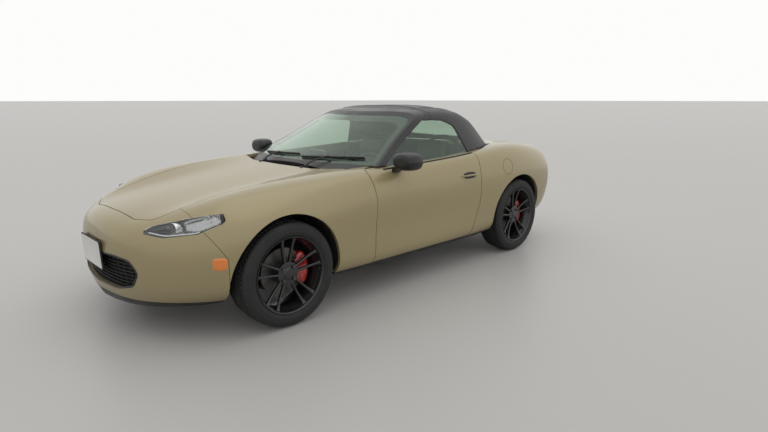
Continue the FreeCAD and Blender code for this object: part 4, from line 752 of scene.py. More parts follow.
def makeWipers():
    arms, blades = Piece(), Piece()
    up = (0, *screenSet["normal"])
    t = np.linspace(0, 1, 40)
    for start, end, pivot in np.array(screenSet["wipers"]):
        line = start[:, None] + (end - start)[:, None] * t
        blades.rod(onScreen(line, 0.0035), oval(0.0022, 0.006, 10, 0.8), up)
        arms.rod(onScreen(line, 0.0125), oval(0.0075, 0.0045, 12, 0.7), up, 0.45 + 0.55 * np.sin(np.pi * t) ** 0.5)
        foot, middle = onScreen(pivot, 0.01), onScreen((start + end) / 2, 0.022)
        bend = [foot + (0, 0, -0.012), foot + (0, 0, 0.008), foot * 0.7 + middle * 0.3 + (0, -0.004, 0.014), middle]
        arms.rod(smoothLine(bend, 36), oval(0.009, 0.0045, 12, 0.6), up, np.linspace(1.35, 0.7, 36))
        arms.lathe(screenSet["pivot"], 28, foot, (0, -0.3, 0.95), (1, 0, 0))
    arms.made("wiperArms", blackTrim)
    blades.made("wiperBlades", sealRubber)
    print("wipers")


# Tail: red lenses with a light ring, exhaust tips closed just inside by black discs that give the soot and the painted
# shade inside the pipes, and the high brake light
tailSet = {"outline": [(0.62, 0.8), (0.66, 0.885), (0.78, 0.89), (0.89, 0.845), (0.885, 0.755), (0.76, 0.735),
                       (0.66, 0.755)],
           "round": 0.024, "fit": 0.985, "ring": (0.665, 0.735, 0.043), "pipe": (0.285, 1.9375, 0.238),
           "tip": [(-0.045, 0.0395), (-0.045, 0.0415), (0.014, 0.0425), (0.0175, 0.0415), (0.018, 0.04),
                   (0.016, 0.038), (-0.004, 0.037), (-0.006, 0.039)],
           "bore": [(0.0008, 0.0), (0.0008, 0.0365), (-0.003, 0.0375), (-0.003, 0.0)],
           "high": (0.0, 1.325, 0.095, 0.009)}


def makeTail():
    s = tailSet
    ring = shrunk(roundedRing(np.array(s["outline"]) * (carHalf, deckHeight), s["round"], 96), [s["fit"]])[0]
    Piece().grid(moulded(ring, "tail_lamps", "-y", 0.0025, 0.004, 12, 10)).made("tailLens", redLens, both=True)
    x, z, radius = s["ring"]
    circle = oval(radius, radius, 64) + (x, z)
    path = cast("tail_lamps", "-y", circle[:, 0], circle[:, 1]) + (0.0, 0.002, 0.0)
    Piece().loop(path, oval(0.0065, 0.003, 12), (0, 1, 0)).made("tailRing", brightRed, both=True)
    Piece().lathe(s["tip"], 56, s["pipe"], (0, 1, 0), along=True).made("exhaustTips", chrome, both=True)
    # black disc just inside each tip: the pipe's soot, and painted shade for its dark depth
    Piece().lathe(s["bore"], 40, s["pipe"], (0, 1, 0)).made("exhaustSootAndShade", sealRubber, both=True)
    x, y, halfWide, halfLong = s["high"]
    high = moulded(oval(halfWide, halfLong, 48, 0.5) + (x, y), "boot_lid", "-z", 0.005)
    Piece().grid(high).made("highBrakeLight", redLens, "boot_lid")
    print("tail")

# Fabric top: the CAD top remeshed finely, drawn tight over its bows, with stitched seams and rubber corners
topSet = {"voxel": 0.0085, "bows": (0.3, 0.5, 0.68, 0.83), "ridge": 0.0022, "sag": 0.004, "flat": (1.12, 1.25),
          "seamReach": (0.235, 1.08), "seam": [(0.2, 0.6, 0.85, 1.1), (0.405, 0.425, 0.428, 0.418)], "bowReach": 0.41,
          "rearGlass": [(0.0, 1.125), (0.26, 1.119), (0.347, 1.101), (0.39, 0.984), (0.382, 0.953), (0.0, 0.941)],
          "gaiterIn": [(0.652, 0.79, 0.893), (0.628, 0.84, 0.893), (0.606, 0.89, 0.893), (0.58, 0.95, 0.893),
                       (0.552, 1.0, 0.892), (0.512, 1.045, 0.891), (0.465, 1.07, 0.89)],
          "gaiterOut": [(0.69, 0.79, 0.89), (0.676, 0.84, 0.892), (0.656, 0.89, 0.894), (0.632, 0.95, 0.896),
                        (0.606, 1.0, 0.898), (0.578, 1.045, 0.898), (0.548, 1.082, 0.896)]}


def remeshedTop():
    mesh = nodes["soft_top"].data.copy()
    mesh.materials.clear()
    work = bmesh.new()
    work.from_mesh(mesh)
    bmesh.ops.remove_doubles(work, verts=work.verts, dist=1e-5)
    work.to_mesh(mesh)
    work.free()
    top = link("topFabric", mesh)
    again = top.modifiers.new("again", "REMESH")
    again.mode, again.voxel_size, again.adaptivity = "VOXEL", topSet["voxel"], 0.0
    soften = top.modifiers.new("soften", "SMOOTH")
    soften.factor, soften.iterations = 0.5, 3
    fresh = bpy.data.meshes.new_from_object(evaluated(top))
    top.modifiers.clear()
    top.data = fresh
    return top


def tightened(places, normals):
    x, y, z = places.T  # a ridge on each bow, a sag between them, fine pulls, and wrinkles in the upright parts
    away = np.abs(y[:, None] - np.array(topSet["bows"])[None]).min(1)
    upward = np.clip(np.abs(normals[:, 2]) * 1.6 - 0.5, 0, 1) * (z > 1.0)
    ridge = topSet["ridge"] * np.exp(-((away / 0.016) ** 2))
    sag = topSet["sag"] * (1 - np.exp(-((away / 0.085) ** 2))) * np.clip((0.55 - np.abs(x)) / 0.18, 0, 1)
    pull = 0.0007 * np.sin(x * 47 + np.sin(y * 21) * 2.2) * np.clip(1 - away / 0.09, 0, 1)
    wrinkle = 0.001 * np.sin(y * 88 + z * 61 + np.sin(x * 15) * 1.5) * np.clip((y - 0.7) / 0.2, 0, 1) * (1 - upward)
    return places + np.stack([0 * x, 0 * x, upward * (ridge - sag + pull)], 1) + normals * wrinkle[:, None] * 0.6


def makeTop():
    s, top = topSet, remeshedTop()
    fresh = top.data
    places, normals = np.empty((2, len(fresh.vertices) * 3))
    fresh.vertices.foreach_get("co", places)
    fresh.vertex_normals.foreach_get("vector", normals)
    fresh.vertices.foreach_set("co", tightened(places.reshape(-1, 3), normals.reshape(-1, 3)).ravel())
    fresh.shade_smooth()
    fresh.materials.append(topCanvas)
    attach(top, "body")
    print("fabric top:", len(fresh.polygons), "faces")
    y = np.linspace(*s["seamReach"], 90)
    path = cast("soft_top", "-z", np.interp(y, *s["seam"]), y)
    Piece().rod(path, oval(0.0085, 0.0024, 14, 0.6), (0.3, 0, 1)).made("topSeams", topCanvas, both=True)
    cross = Piece()
    for bow in s["bows"]:
        path = cast("soft_top", "-z", np.linspace(-1, 1, 80) * s["bowReach"], bow)
        cross.rod(path + (0, 0, 0.0014), oval(0.0075, 0.0022, 12, 0.6))
    cross.made("topBowSeams", topCanvas)
    ring = roundedRing(mirrored(np.array(s["rearGlass"])), 0.03, 200)
    ring = ring + unit(ring - ring.mean(0)) * 0.004
    path = cast("soft_top", "-y", ring[:, 0], ring[:, 1])
    Piece().loop(path, oval(0.0065, 0.0032, 12, 0.7), (0, 0.5, 0.85)).made("rearGlassSeal", sealRubber)
    inner, outer = (smoothLine(s[key], 60)[:, None] for key in ("gaiterIn", "gaiterOut"))
    share = np.linspace(0, 1, 9)[None, :, None]  # from the fabric's foot to the deck, crowned across
    net = inner * (1 - share) + outer * share + np.array([0.0, 0.0, 0.003]) * np.sin(np.pi * share)
    Piece().grid(net, around=False).made("topGaiters", sealRubber, both=True, wall=0.003)
    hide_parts("soft_top")


# Seats: pads swollen by a cloth pressure run, in a hard back shell, with piping. Sizes are for the left seat.
# Each pad: centre, half sizes, and whether it leans. Channelled: along which axis, into which, and from which side
seatSet = {"x": 0.359, "lean": 0.262, "pressure": 3.0, "frames": 16, "cap": 0.02, "square": 0.42,
           "channels": (-0.55, -0.18, 0.18, 0.55), "width": 0.011, "deep": 0.006,
           "channelled": {"Cushion": (1, 2, 1), "Back": (2, 1, -1)},
           "pads": {"Cushion": [((0.0, 0.225, 0.278), (0.138, 0.19, 0.042), False)],
                    "CushionSides": [((-0.178, 0.235, 0.282), (0.044, 0.2, 0.058), False),
                                     ((0.178, 0.235, 0.282), (0.044, 0.2, 0.058), False)],
                    "Back": [((0.0, 0.48, 0.555), (0.138, 0.04, 0.215), True)],
                    "BackSides": [((-0.178, 0.466, 0.56), (0.042, 0.056, 0.215), True),
                                  ((0.178, 0.466, 0.56), (0.042, 0.056, 0.215), True)],
                    "Head": [((0.0, 0.563, 0.862), (0.15, 0.04, 0.083), True)]},
           "shell": ((0.545, 0.56), (0.222, 0.034, 0.315)), "pan": ((0.255, 0.2325), (0.214, 0.232, 0.022))}


def placesOf(piece):
    places = np.empty(len(piece.data.vertices) * 3)
    piece.data.vertices.foreach_get("co", places)
    return places.reshape(-1, 3)


def swollen(pads):
    scene, frames = bpy.context.scene, seatSet["frames"]
    for pad in pads:
        cloth = pad.modifiers.new("stuffing", "CLOTH")
        cloth.settings.quality = 5
        cloth.settings.use_pressure = True
        cloth.settings.uniform_pressure_force = seatSet["pressure"]
        cloth.settings.tension_stiffness = cloth.settings.compression_stiffness = 12
        cloth.settings.effector_weights.gravity = 0.0
        cloth.point_cache.frame_start, cloth.point_cache.frame_end = 1, frames
    for step in range(1, frames + 1):
        scene.frame_set(step)
    graph = bpy.context.evaluated_depsgraph_get()
    for pad in pads:
        rest = placesOf(pad)
        move = placesOf(pad.evaluated_get(graph)) - rest
        move *= np.minimum(1.0, seatSet["cap"] / np.maximum(np.linalg.norm(move, axis=1, keepdims=True), 1e-9))
        pad.modifiers.clear()
        pad.data.vertices.foreach_set("co", (rest + move).ravel())
        pad.data.update()
    scene.frame_set(1)


def padNet(word, centre, half, leans):
    s = seatSet
    net = pebble((0, 0, 0), half, s["square"], 29, 56)
    if word in s["channelled"]:
        along, into, way = s["channelled"][word]
        gaps = [net[..., along] - at * half[along] for at in s["channels"]]
        crease = s["deep"] * sum(np.exp(-((gap / s["width"]) ** 2)) for gap in gaps)
        net[..., into] -= way * np.where(way * net[..., into] > 0.4 * half[into], crease, 0)
    net = net + np.array(centre)
    return (leaned(net, centre, s["lean"]) if leans else net) + right * s["x"]


def finer(pad):
    again = pad.modifiers.new("finer", "SUBSURF")
    again.levels = again.render_levels = 1


def makePads():
    pads = []
    for word, table in seatSet["pads"].items():
        pad, finish = Piece(), seatFabric if word in seatSet["channelled"] else seatLeather
        for centre, half, leans in table:
            pad.grid(padNet(word, centre, half, leans))
        pads.append(pad.made("seat" + word + "Left", finish, crease=80.0, stands=["seat_left"]))
    swollen(pads)
    for pad in pads:
        finer(pad)
        twin = link(pad.name.replace("Left", "Right"), pad.data.copy())
        work = bmesh.new()
        work.from_mesh(twin.data)
        bmesh.ops.scale(work, vec=(-1, 1, 1), verts=work.verts)
        bmesh.ops.recalc_face_normals(work, faces=work.faces)
        work.to_mesh(twin.data)
        work.free()
        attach(twin, "body")
        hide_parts("seat_right")
        finer(twin)


def makeSeats():
    s = seatSet
    makePads()
    (y, z), half = s["shell"]
    back = leaned(pebble((s["x"], y, z), half, 0.34, 25, 56), (0, y, z), s["lean"] * 0.72)
    shell = Piece().grid(back).block((s["x"], *s["pan"][0]), s["pan"][1], 0.3, 17, 56)
    for side in (-1, 1):
        rail = [(s["x"] + side * 0.19, y, 0.214) for y in (0.03, 0.3, 0.56)]
        shell.rod(smoothLine(rail, 16), oval(0.016, 0.008, 12, 0.4))
    shell.made("seatShells", blackTrim, both=True)
    piping = Piece()
    for centre, half, leans in s["pads"]["Cushion"] + s["pads"]["Back"]:
        k, level = (1, -half[1] * 0.8) if leans else (2, half[2] * 0.8)
        edge = roundedRing(fourCorners * (half[0], half[3 - k]), 0.05, 96)
        path = np.insert(edge, k, level, axis=1) + np.array(centre)
        path = (leaned(path, centre, s["lean"]) if leans else path) + right * s["x"]
        piping.loop(path, oval(0.003, 0.003, 8), (0, -1, 0.2) if leans else (0, 0, 1))
    piping.made("seatPiping", redThread, both=True)
    print("seats")


# Steering wheel: a leather ring, a hub with three spokes, and inlays. Rows: shares of outwards, rearwards, upwards
steeringSet = {"place": (0.365, -0.0809, 0.71495), "tilt": math.radians(22.0), "ring": 0.178, "grip": 0.0172,
               "hub": [(-0.028, 0.0), (-0.028, 0.046), (0.004, 0.052), (0.018, 0.044), (0.024, 0.026), (0.025, 0.0)],
               "spokes": ((1, 0.05), (-1, 0.05), (0, -1)),
               "spoke": [(0.02, 0.0, 0.0), (0.08, -0.004, 0.0), (0.13, -0.002, 0.0), (0.174, 0.0, 0.0)],
               "inlay": [(0.062, 0.012, 0.018), (0.105, 0.008, 0.01), (0.15, 0.006, 0.0)]}


def makeSteering():
    s, centre = steeringSet, np.array(steeringSet["place"])
    way = np.array([0.0, math.cos(s["tilt"]), math.sin(s["tilt"])])
    rising = np.array([0.0, -way[2], way[1]])
    a = np.linspace(0, 2 * np.pi, 120, endpoint=False)[:, None]
    ring = centre + s["ring"] * (np.cos(a) * right + np.sin(a) * rising)
    Piece().loop(ring, oval(s["grip"], s["grip"], 20), way).made("wheelGrip", leather, "steering_wheel")
    hub, inlays = Piece().lathe(s["hub"], 48, centre, way, (1, 0, 0)), Piece()
    for across, up in s["spokes"]:
        path = centre + np.array(s["spoke"]) @ [across * right + up * rising, way, rising]
        hub.rod(smoothLine(path, 20), oval(0.022, 0.0085, 16, 0.7), way, np.linspace(1.15, 0.75, 20))
    hub.made("wheelHub", blackTrim, "steering_wheel")
    for side in (1, -1):
        path = centre + np.array(s["inlay"]) @ [side * right, way, rising]
        inlays.rod(smoothLine(path, 18), oval(0.0045, 0.0025, 10), way)
    inlays.made("wheelTrim", satinSilver, "steering_wheel")
    print("steering wheel")


# Dials in a case under a hood. Case rows: y and size. Hood rows: y and lift. Rim: (along, radius beyond the dial's)
dialSet = {"middle": (0.365, 0.786), "case": [(-0.4, 1.04), (-0.262, 1.0), (-0.252, 0.985), (-0.25, 0.95)],
           "hood": [(-0.345, -0.004), (-0.29, 0.0), (-0.23, 0.002), (-0.196, -0.002)],
           "dials": ((0.365, 0.052), (0.262, 0.038), (0.468, 0.038)), "place": (-0.2505, 0.787), "aim": (0, 1, 0.25),
           "rim": [(0, 0), (0.01, 0.003), (0.013, 0.001), (0.01, -0.002), (0, -0.001)],
           "marks": range(-130, 131, 26), "needle": -70}


def makeDials():
    s = dialSet
    section = oval(0.158, 0.066, 64, 0.62)
    case = [np.insert(section * size + s["middle"], 1, y, axis=1) for y, size in s["case"]]
    Piece().grid(capped(np.array(case))).made("dialCase", blackTrim)
    u = np.linspace(0.04 * np.pi, 0.96 * np.pi, 48)
    arch = np.stack([0.365 + 0.176 * powered(np.cos(u), 0.7), 0 * u, 0.768 + 0.098 * powered(np.sin(u), 0.7)], -1)
    hood = np.array([arch + (0, y, lift) for y, lift in s["hood"]])
    Piece().grid(hood, around=False).made("dialHood", blackTrim, wall=0.009)
    rims, faces, marks = Piece(), Piece(), Piece()
    for x, radius in s["dials"]:
        at, inner = np.array([x, *s["place"]]), radius - 0.001
        rims.lathe(np.array(s["rim"]) + (0, radius), 48, at, s["aim"], along=True)
        faces.lathe([(0.0015, 0.0), (0.0015, inner), (-0.004, inner), (-0.004, 0.0)], 48, at, s["aim"])
        strokes = [(turn, radius - 0.01, radius - 0.0035, 0.0035, 0.0009, 0.0004) for turn in s["marks"]]
        strokes.append((s["needle"], -0.006, radius - 0.012, 0.005, 0.0012, 0.0005))
        for turn, start, end, lift, wide, tall in strokes:
            out = np.array([math.sin(math.radians(turn)), 0.0, math.cos(math.radians(turn))])
            marks.rod(at + (0, lift, 0) + out * [[start], [end]], oval(wide, tall, 6), (0, 1, 0))
    rims.made("dialRims", satinSilver)
    faces.made("dialFaces", darkGlass)
    marks.made("dialMarks", palePlate)
    print("dials")


# Dashboard: round vents, a screen and a band in the colour of the body
dashSet = {"start": 1.0, "vents": ((0.545, 0.775), (0.185, 0.795), (-0.15, 0.795), (-0.54, 0.775)),
           "vent": (0.04, 0.028, 0.016), "screen": (0.0, 0.815), "band": (0.59, 0.742)}


def makeDashboard():
    s, vents = dashSet, Piece()
    for x, z in s["vents"]:
        spot = cast("dashboard", "-y", x, z, s["start"])
        for radius in s["vent"]:
            inner = radius - 0.004
            profile = [(0.0, radius), (0.007, radius), (0.007, inner), (0.0, inner)]
            vents.lathe(profile, 40, spot, (0, 1, 0.1), along=True)
        vents.block(spot + (0, 0.004, 0), (0.007, 0.008, 0.007), 1.0, 9, 16)
    vents.made("airVents", satinSilver)
    spot = cast("dashboard", "-y", *s["screen"], s["start"]) + (0.0, 0.006, 0.03)
    Piece().block(spot, (0.1, 0.009, 0.058), 0.22, 17, 48).made("centreScreen", darkGlass)
    half, z = s["band"]
    band = cast("dashboard", "-y", np.linspace(-half, half, 60), z, s["start"])
    Piece().rod(band, oval(0.011, 0.004, 14, 0.5), (0, 1, 0)).made("dashBand", sandFinish)
    print("dashboard")


# Console with its lever, cup rings, lid, buttons and handbrake. Top and half width follow y
consoleSet = {"top": [(-0.2, -0.05, 0.1, 0.4, 0.6), (0.62, 0.52, 0.475, 0.47, 0.5)], "foot": 0.432,
              "half": [(-0.2, 0.1, 0.6), (0.1, 0.105, 0.108)], "lever": (0.0, 0.085, 0.47), "cups": (0.225, 0.315),
              "gaiter": [(-0.004, 0.0), (0.0, 0.048), (0.012, 0.042), (0.02, 0.043), (0.032, 0.03), (0.042, 0.03),
                         (0.056, 0.016), (0.062, 0.011), (0.064, 0.0)],
              "cup": [(0.0, 0.0395), (0.004, 0.0395), (0.005, 0.0375), (0.004, 0.0355), (-0.006, 0.035), (-0.006, 0.0)],
              "brake": [(-0.062, 0.3, 0.47), (-0.062, 0.22, 0.492), (-0.062, 0.12, 0.52), (-0.062, 0.075, 0.53)]}


def makeConsole():
    s = consoleSet
    y, v = np.linspace(-0.2, 0.6, 40)[:, None], np.linspace(0, np.pi, 28)[None]
    x = np.interp(y, *s["half"]) * powered(np.cos(v), 0.35)
    z = s["foot"] + (np.interp(y, *s["top"]) - s["foot"]) * powered(np.sin(v), 0.35)
    Piece().grid(np.stack([x, y + 0 * v, z], -1), around=False).made("console", leather, wall=0.004)
    foot = np.array(s["lever"])
    Piece().lathe(s["gaiter"], 40, foot).made("leverGaiter", leather)
    frame = np.insert(oval(0.058, 0.066, 72, 0.5) + foot[:2], 2, 0.4745, axis=1)
    fittings = Piece().loop(frame, oval(0.0045, 0.0022, 10), (0, 0, 1))
    for y in s["cups"]:
        fittings.lathe(s["cup"], 48, (0.04, y, 0.4705))
    fittings.made("consoleFittings", satinSilver)
    Piece().block((0.0, 0.465, 0.476), (0.088, 0.098, 0.016), 0.3, 17, 56).made("consoleLid", leather)
    buttons = Piece()
    for x in np.linspace(-0.048, 0.048, 5):
        buttons.block((x, -0.055, 0.529), (0.0095, 0.011, 0.005), 0.35, 9, 20)
    buttons.made("consoleButtons", pianoBlack)
    knobs = Piece().rod(foot + np.array([(0, 0, 0.05), (0, 0.004, 0.105)]), oval(0.0065, 0.0065, 16), (1, 0, 0))
    knobs.block(foot + (0, 0.006, 0.122), (0.023, 0.023, 0.026), 0.85, 17, 32)
    size = np.interp(np.arange(24), [0, 8, 20, 23], [0.6, 0.8, 1.15, 0.9])
    knobs.rod(smoothLine(s["brake"], 24), oval(0.012, 0.013, 16), scale=size)
    knobs.made("leverKnobs", leather)
    print("console")


# Pedals (x, z, half sizes), inside mirror, hoops behind the seats, belts and sun visors
fittingSet = {"pedals": [(0.235, 0.335, (0.028, 0.006, 0.026)), (0.31, 0.335, (0.03, 0.006, 0.026)),
                         (0.378, 0.32, (0.018, 0.006, 0.055))],
              "mirror": (0.0, 0.085, 1.06), "mirrorStem": [(0.0, 0.07, 1.075), (0.0, 0.02, 1.108), (0.0, -0.04, 1.118)],
              "hoop": [(0.2, 0.7, 0.7), (0.2, 0.705, 0.86), (0.25, 0.705, 0.955), (0.45, 0.705, 0.955),
                       (0.5, 0.705, 0.86), (0.5, 0.7, 0.7)],
              "belt": [(0.575, 0.69, 0.7), (0.572, 0.668, 0.8), (0.58, 0.6, 0.735), (0.606, 0.52, 0.52),
                       (0.62, 0.47, 0.33), (0.622, 0.455, 0.235)],
              "buckles": [((0.58, 0.6, 0.735), (0.006, 0.03, 0.022)), ((0.123, 0.42, 0.44), (0.011, 0.022, 0.04))],
              "visor": (0.33, 0.185, 1.128)}


def makeFittings():
    s, pedals, hoops, buckles = fittingSet, Piece(), Piece(), Piece()
    for x, z, half in s["pedals"]:
        pedals.block((x, -0.655, z), half, 0.3, 13, 28)
        stem = [(x, -0.66, z), (x, -0.7, z + 0.08), (x, -0.69, 0.54)]
        pedals.rod(smoothLine(stem, 16), oval(0.006, 0.004, 10), (1, 0, 0))
    pedals.made("pedals", darkSteel)
    mirror = Piece().block(s["mirror"], (0.115, 0.018, 0.032), 0.4, 17, 40)
    mirror.rod(smoothLine(s["mirrorStem"], 12), oval(0.008, 0.006, 10), (1, 0, 0))
    mirror.made("insideMirror", blackTrim)
    for side in (1, -1):
        hoops.rod(smoothLine(np.array(s["hoop"]) * (side, 1, 1), 60), oval(0.019, 0.019, 20), (0, 1, 0))
    hoops.made("rollHoops", pianoBlack)
    belt = Piece().rod(smoothLine(s["belt"], 60), oval(0.0225, 0.0008, 16, 0.7), (1, 0.3, 0))
    belt.made("belts", webbing, both=True)
    for centre, half in s["buckles"]:
        buckles.block(centre, half, 0.4, 15, 28)
    buckles.made("beltBuckles", blackTrim, both=True)
    visor = leaned(pebble(s["visor"], (0.165, 0.055, 0.008), 0.35, 15, 56), s["visor"], -0.1)
    Piece().grid(visor).made("sunVisors", leather, both=True)
    print("cabin fittings")


# Door liners: a skin on the inside of the door with an arm rest and a pocket, speaker rings and a pull
linerSet = {"start": 0.55, "long": (-0.34, 0.52, 44), "tall": (0.36, 0.8, 26), "speaker": (0.7075, -0.225, 0.455),
            "rings": (0.074, 0.06, 0.047, 0.034, 0.021, 0.009),
            "ring": [(0.0, 0.0), (0.003, -0.0012), (0.0036, -0.003), (0.003, -0.0048), (0.0, -0.006)],
            "pull": [(0.706, 0.2, 0.69), (0.684, 0.215, 0.69), (0.68, 0.28, 0.692), (0.706, 0.3, 0.692)]}


def makeDoorLiners():
    s = linerSet
    y, z = np.meshgrid(np.linspace(*s["long"]), np.linspace(*s["tall"]))
    liner = laid(np.stack([np.full(y.shape, s["start"]), y, z], -1), "door_left", "+x")
    across, up = np.meshgrid(np.linspace(-1, 1, s["long"][2]), np.linspace(-1, 1, s["tall"][2]))
    rim = np.clip(1 - np.maximum(np.abs(across) ** 8, np.abs(up) ** 8), 0, 1)
    rest = 0.04 * np.exp(-(((z - 0.585) / 0.034) ** 4)) * np.clip(1.0 - (np.abs(y - 0.14) / 0.3) ** 6, 0, 1)
    pocket = -0.002 * np.exp(-(((z - 0.44) / 0.04) ** 2))
    liner[..., 0] -= 0.0025 * rim + rest + 0.002 + pocket
    for side, word in sides:
        body, rings = "door_" + word.lower(), Piece()
        Piece().grid(liner, around=False).made("doorLiner" + word, leather, body, side=side, wall=0.004)
        for radius in s["rings"]:
            rings.lathe(np.array(s["ring"]) + (0, radius), 44, s["speaker"], (-1, 0, 0), along=True)
        rings.made("doorSpeaker" + word, pewter, body, side=side)
        pull = Piece().rod(smoothLine(s["pull"], 26), oval(0.009, 0.006, 12))
        pull.made("doorPull" + word, satinSilver, body, side=side)
    print("door liners")


# Engine: a ribbed block under a fluted cover, with intake runners and an exhaust header
engineSet = {"front": -1.425, "rear": -0.88, "cap": (0.07, -1.335, 0.6), "rib": 0.006, "pitch": 0.0395,
             "section": [(-0.115, 0.3), (0.115, 0.3), (0.15, 0.42), (0.12, 0.56), (0.105, 0.6), (-0.105, 0.6),
                         (-0.12, 0.56), (-0.15, 0.42)],
             "capProfile": [(0.0, 0.0), (0.0, 0.026), (0.014, 0.026), (0.018, 0.022), (0.018, 0.0)],
             "runner": [(0.11, 0.52), (0.175, 0.56), (0.225, 0.53), (0.24, 0.455), (0.2, 0.4)],
             "outlet": [(-0.205, -1.12, 0.34), (-0.2, -1.06, 0.292), (-0.19, -0.99, 0.285)]}


def makeEngine():
    s = engineSet
    y = np.linspace(s["front"], s["rear"], 61)[:, None]
    ribs = s["rib"] * np.cos((y - s["front"]) / s["pitch"] * 2 * np.pi)
    core = np.array([0.0, 0.45])
    ring = core + (roundedRing(s["section"], 0.03, 72) - core)[None] * (1 + ribs[..., None] / 0.15)
    net = np.stack([ring[..., 0], y + 0 * ring[..., 0], ring[..., 1]], -1)
    Piece().grid(capped(net)).made("engineCore", castAlloy, crease=50.0, stands=["engine_block"])
    u, v = np.meshgrid(np.linspace(-1, 1, 61), np.linspace(-1, 1, 97))
    dome = (1 - np.abs(u) ** 6) * (1 - np.abs(v) ** 10)
    flutes = 0.0035 * np.clip(np.cos(u * np.pi * 4.5), 0, 1) * (np.abs(v) < 0.72)
    middle = (s["front"] + s["rear"]) / 2
    net = np.stack([u * 0.118, middle + v * 0.225, 0.598 + 0.05 * dome**0.5 + flutes * dome], -1)
    Piece().grid(net, around=False).made("engineCover", blackTrim, wall=0.004)
    Piece().lathe(s["capProfile"], 24, s["cap"]).made("oilCap", blackTrim)
    runners, header = Piece(), Piece()
    for k in range(4):
        path = np.insert(np.array(s["runner"]), 1, -1.3 + k * 0.105, axis=1)
        runners.rod(smoothLine(path, 28), oval(0.019, 0.022, 20), (0, 1, 0), np.linspace(1.15, 1.0, 28))
        y = -1.29 + k * 0.1
        path = [(-0.112, y, 0.5), (-0.16, y, 0.495), (-0.195, y * 0.5 - 0.57, 0.43), (-0.205, -1.12, 0.33)]
        header.rod(smoothLine(path, 26), oval(0.0165, 0.0165, 16), (0, 1, 0))
    runners.block((0.205, -1.142, 0.385), (0.042, 0.215, 0.04), 0.5, 21, 40)
    runners.made("intakeRunners", castAlloy)
    header.rod(smoothLine(s["outlet"], 14), oval(0.028, 0.028, 20), (1, 0, 0))
    header.made("exhaustHeader", darkSteel)
    print("engine")


# What stands round the engine: airbox, battery and fuse box with a ribbed trunk, two tanks, and the radiator
baySet = {"boxes": [((0.305, -1.5, 0.5), (0.085, 0.052, 0.115), 0.22, 21, 44),
                    ((-0.31, -0.96, 0.575), (0.088, 0.062, 0.075), 0.16, 21, 44),
                    ((-0.33, -1.5, 0.48), (0.055, 0.048, 0.09), 0.3, 21, 36)],
          "trunk": [(0.285, -1.49, 0.59), (0.24, -1.455, 0.632), (0.18, -1.44, 0.628), (0.15, -1.425, 0.585)],
          "tanks": [((0.33, -0.935, 0.6), (0.05, 0.042, 0.048), 0.35, 19, 36),
                    ((-0.33, -1.34, 0.56), (0.048, 0.068, 0.062), 0.3, 19, 36)],
          "lids": ((0.33, -0.935, 0.646), (-0.33, -1.34, 0.62)),
          "lid": [(0.0, 0.0), (0.0, 0.021), (0.016, 0.021), (0.019, 0.017), (0.019, 0.0)],
          "radiator": -1.548, "fins": (0.3, 0.56, 24), "headers": (0.285, 0.575),
          "leads": [((-0.27, -0.93, 0.648), (-0.1, -1.02, 0.6)), ((-0.35, -0.93, 0.648), (-0.41, -1.15, 0.56)),
                    ((0.3, -0.96, 0.58), (0.12, -0.99, 0.56))]}


def makeBayParts():
    s = baySet
    boxes, tanks, lids, radiator = Piece(), Piece(), Piece(), Piece()
    for box in s["boxes"]:
        boxes.block(*box)
    boxes.made("bayBoxes", blackTrim)
    folds = 1 + 0.07 * np.cos(np.arange(60) * 1.25)
    Piece().rod(smoothLine(s["trunk"], 60), oval(0.032, 0.032, 24), scale=folds).made("airTrunk", sealRubber)
    for tank in s["tanks"]:
        tanks.block(*tank)
    tanks.made("fluidTanks", milkyPlastic)
    for place in s["lids"]:
        lids.lathe(s["lid"], 28, place)
    lids.made("tankLids", sealRubber)
    u = np.linspace(-0.36, 0.36, 49)
    for z in np.linspace(*s["fins"]):
        path = np.stack([u, s["radiator"] + 0.0022 * np.cos(u * 210), 0 * u + z], -1)
        radiator.rod(path, oval(0.006, 0.002, 6))
    for z in s["headers"]:
        radiator.rod(np.stack([u, 0 * u + s["radiator"], 0 * u + z], -1), oval(0.02, 0.016, 16, 0.5))
    radiator.made("radiator", castAlloy)
    print("bay parts")


# Strut towers and brace, the panel before the engine, screws, the bay's seal, and the hood's liner and jets
strutSet = {"place": (0.392, -1.165, 0.668), "plate": 0.6975, "bolt": 0.702, "circle": 0.034,
            "ledge": (-1.617, 0.38, 7), "jets": (-0.26, 0.26), "jetRow": -0.69, "open": -0.885,
            "tower": [(-0.406, 0.084), (-0.02, 0.078), (0.012, 0.074), (0.026, 0.062), (0.03, 0.04), (0.024, 0.034),
                      (0.024, 0.016), (0.034, 0.012), (0.035, 0.0)],
            "brace": [(-0.392, -1.165, 0.704), (-0.345, -1.16, 0.708), (-0.25, -1.14, 0.714), (0.0, -1.105, 0.718),
                      (0.25, -1.14, 0.714), (0.345, -1.16, 0.708), (0.392, -1.165, 0.704)],
            "foot": [(0.0, 0.0), (0.0, 0.046), (0.004, 0.046), (0.005, 0.044), (0.005, 0.0)],
            "screw": [(0.0, 0.0), (0.0, 0.0075), (0.006, 0.0075), (0.007, 0.0055), (0.007, 0.0)],
            "clip": [(0.0, 0.0), (0.0, 0.0085), (0.0036, 0.008), (0.0044, 0.005), (0.004, 0.0)],
            "slam": [(-0.4, -1.785), (0.4, -1.785), (0.425, -1.6), (-0.425, -1.6)],
            "seal": [(-0.452, -1.59), (0.452, -1.59), (0.452, -0.88), (-0.452, -0.88)],
            "liner": [(-0.385, -1.5), (0.385, -1.5), (0.41, -0.72), (-0.41, -0.72)]}


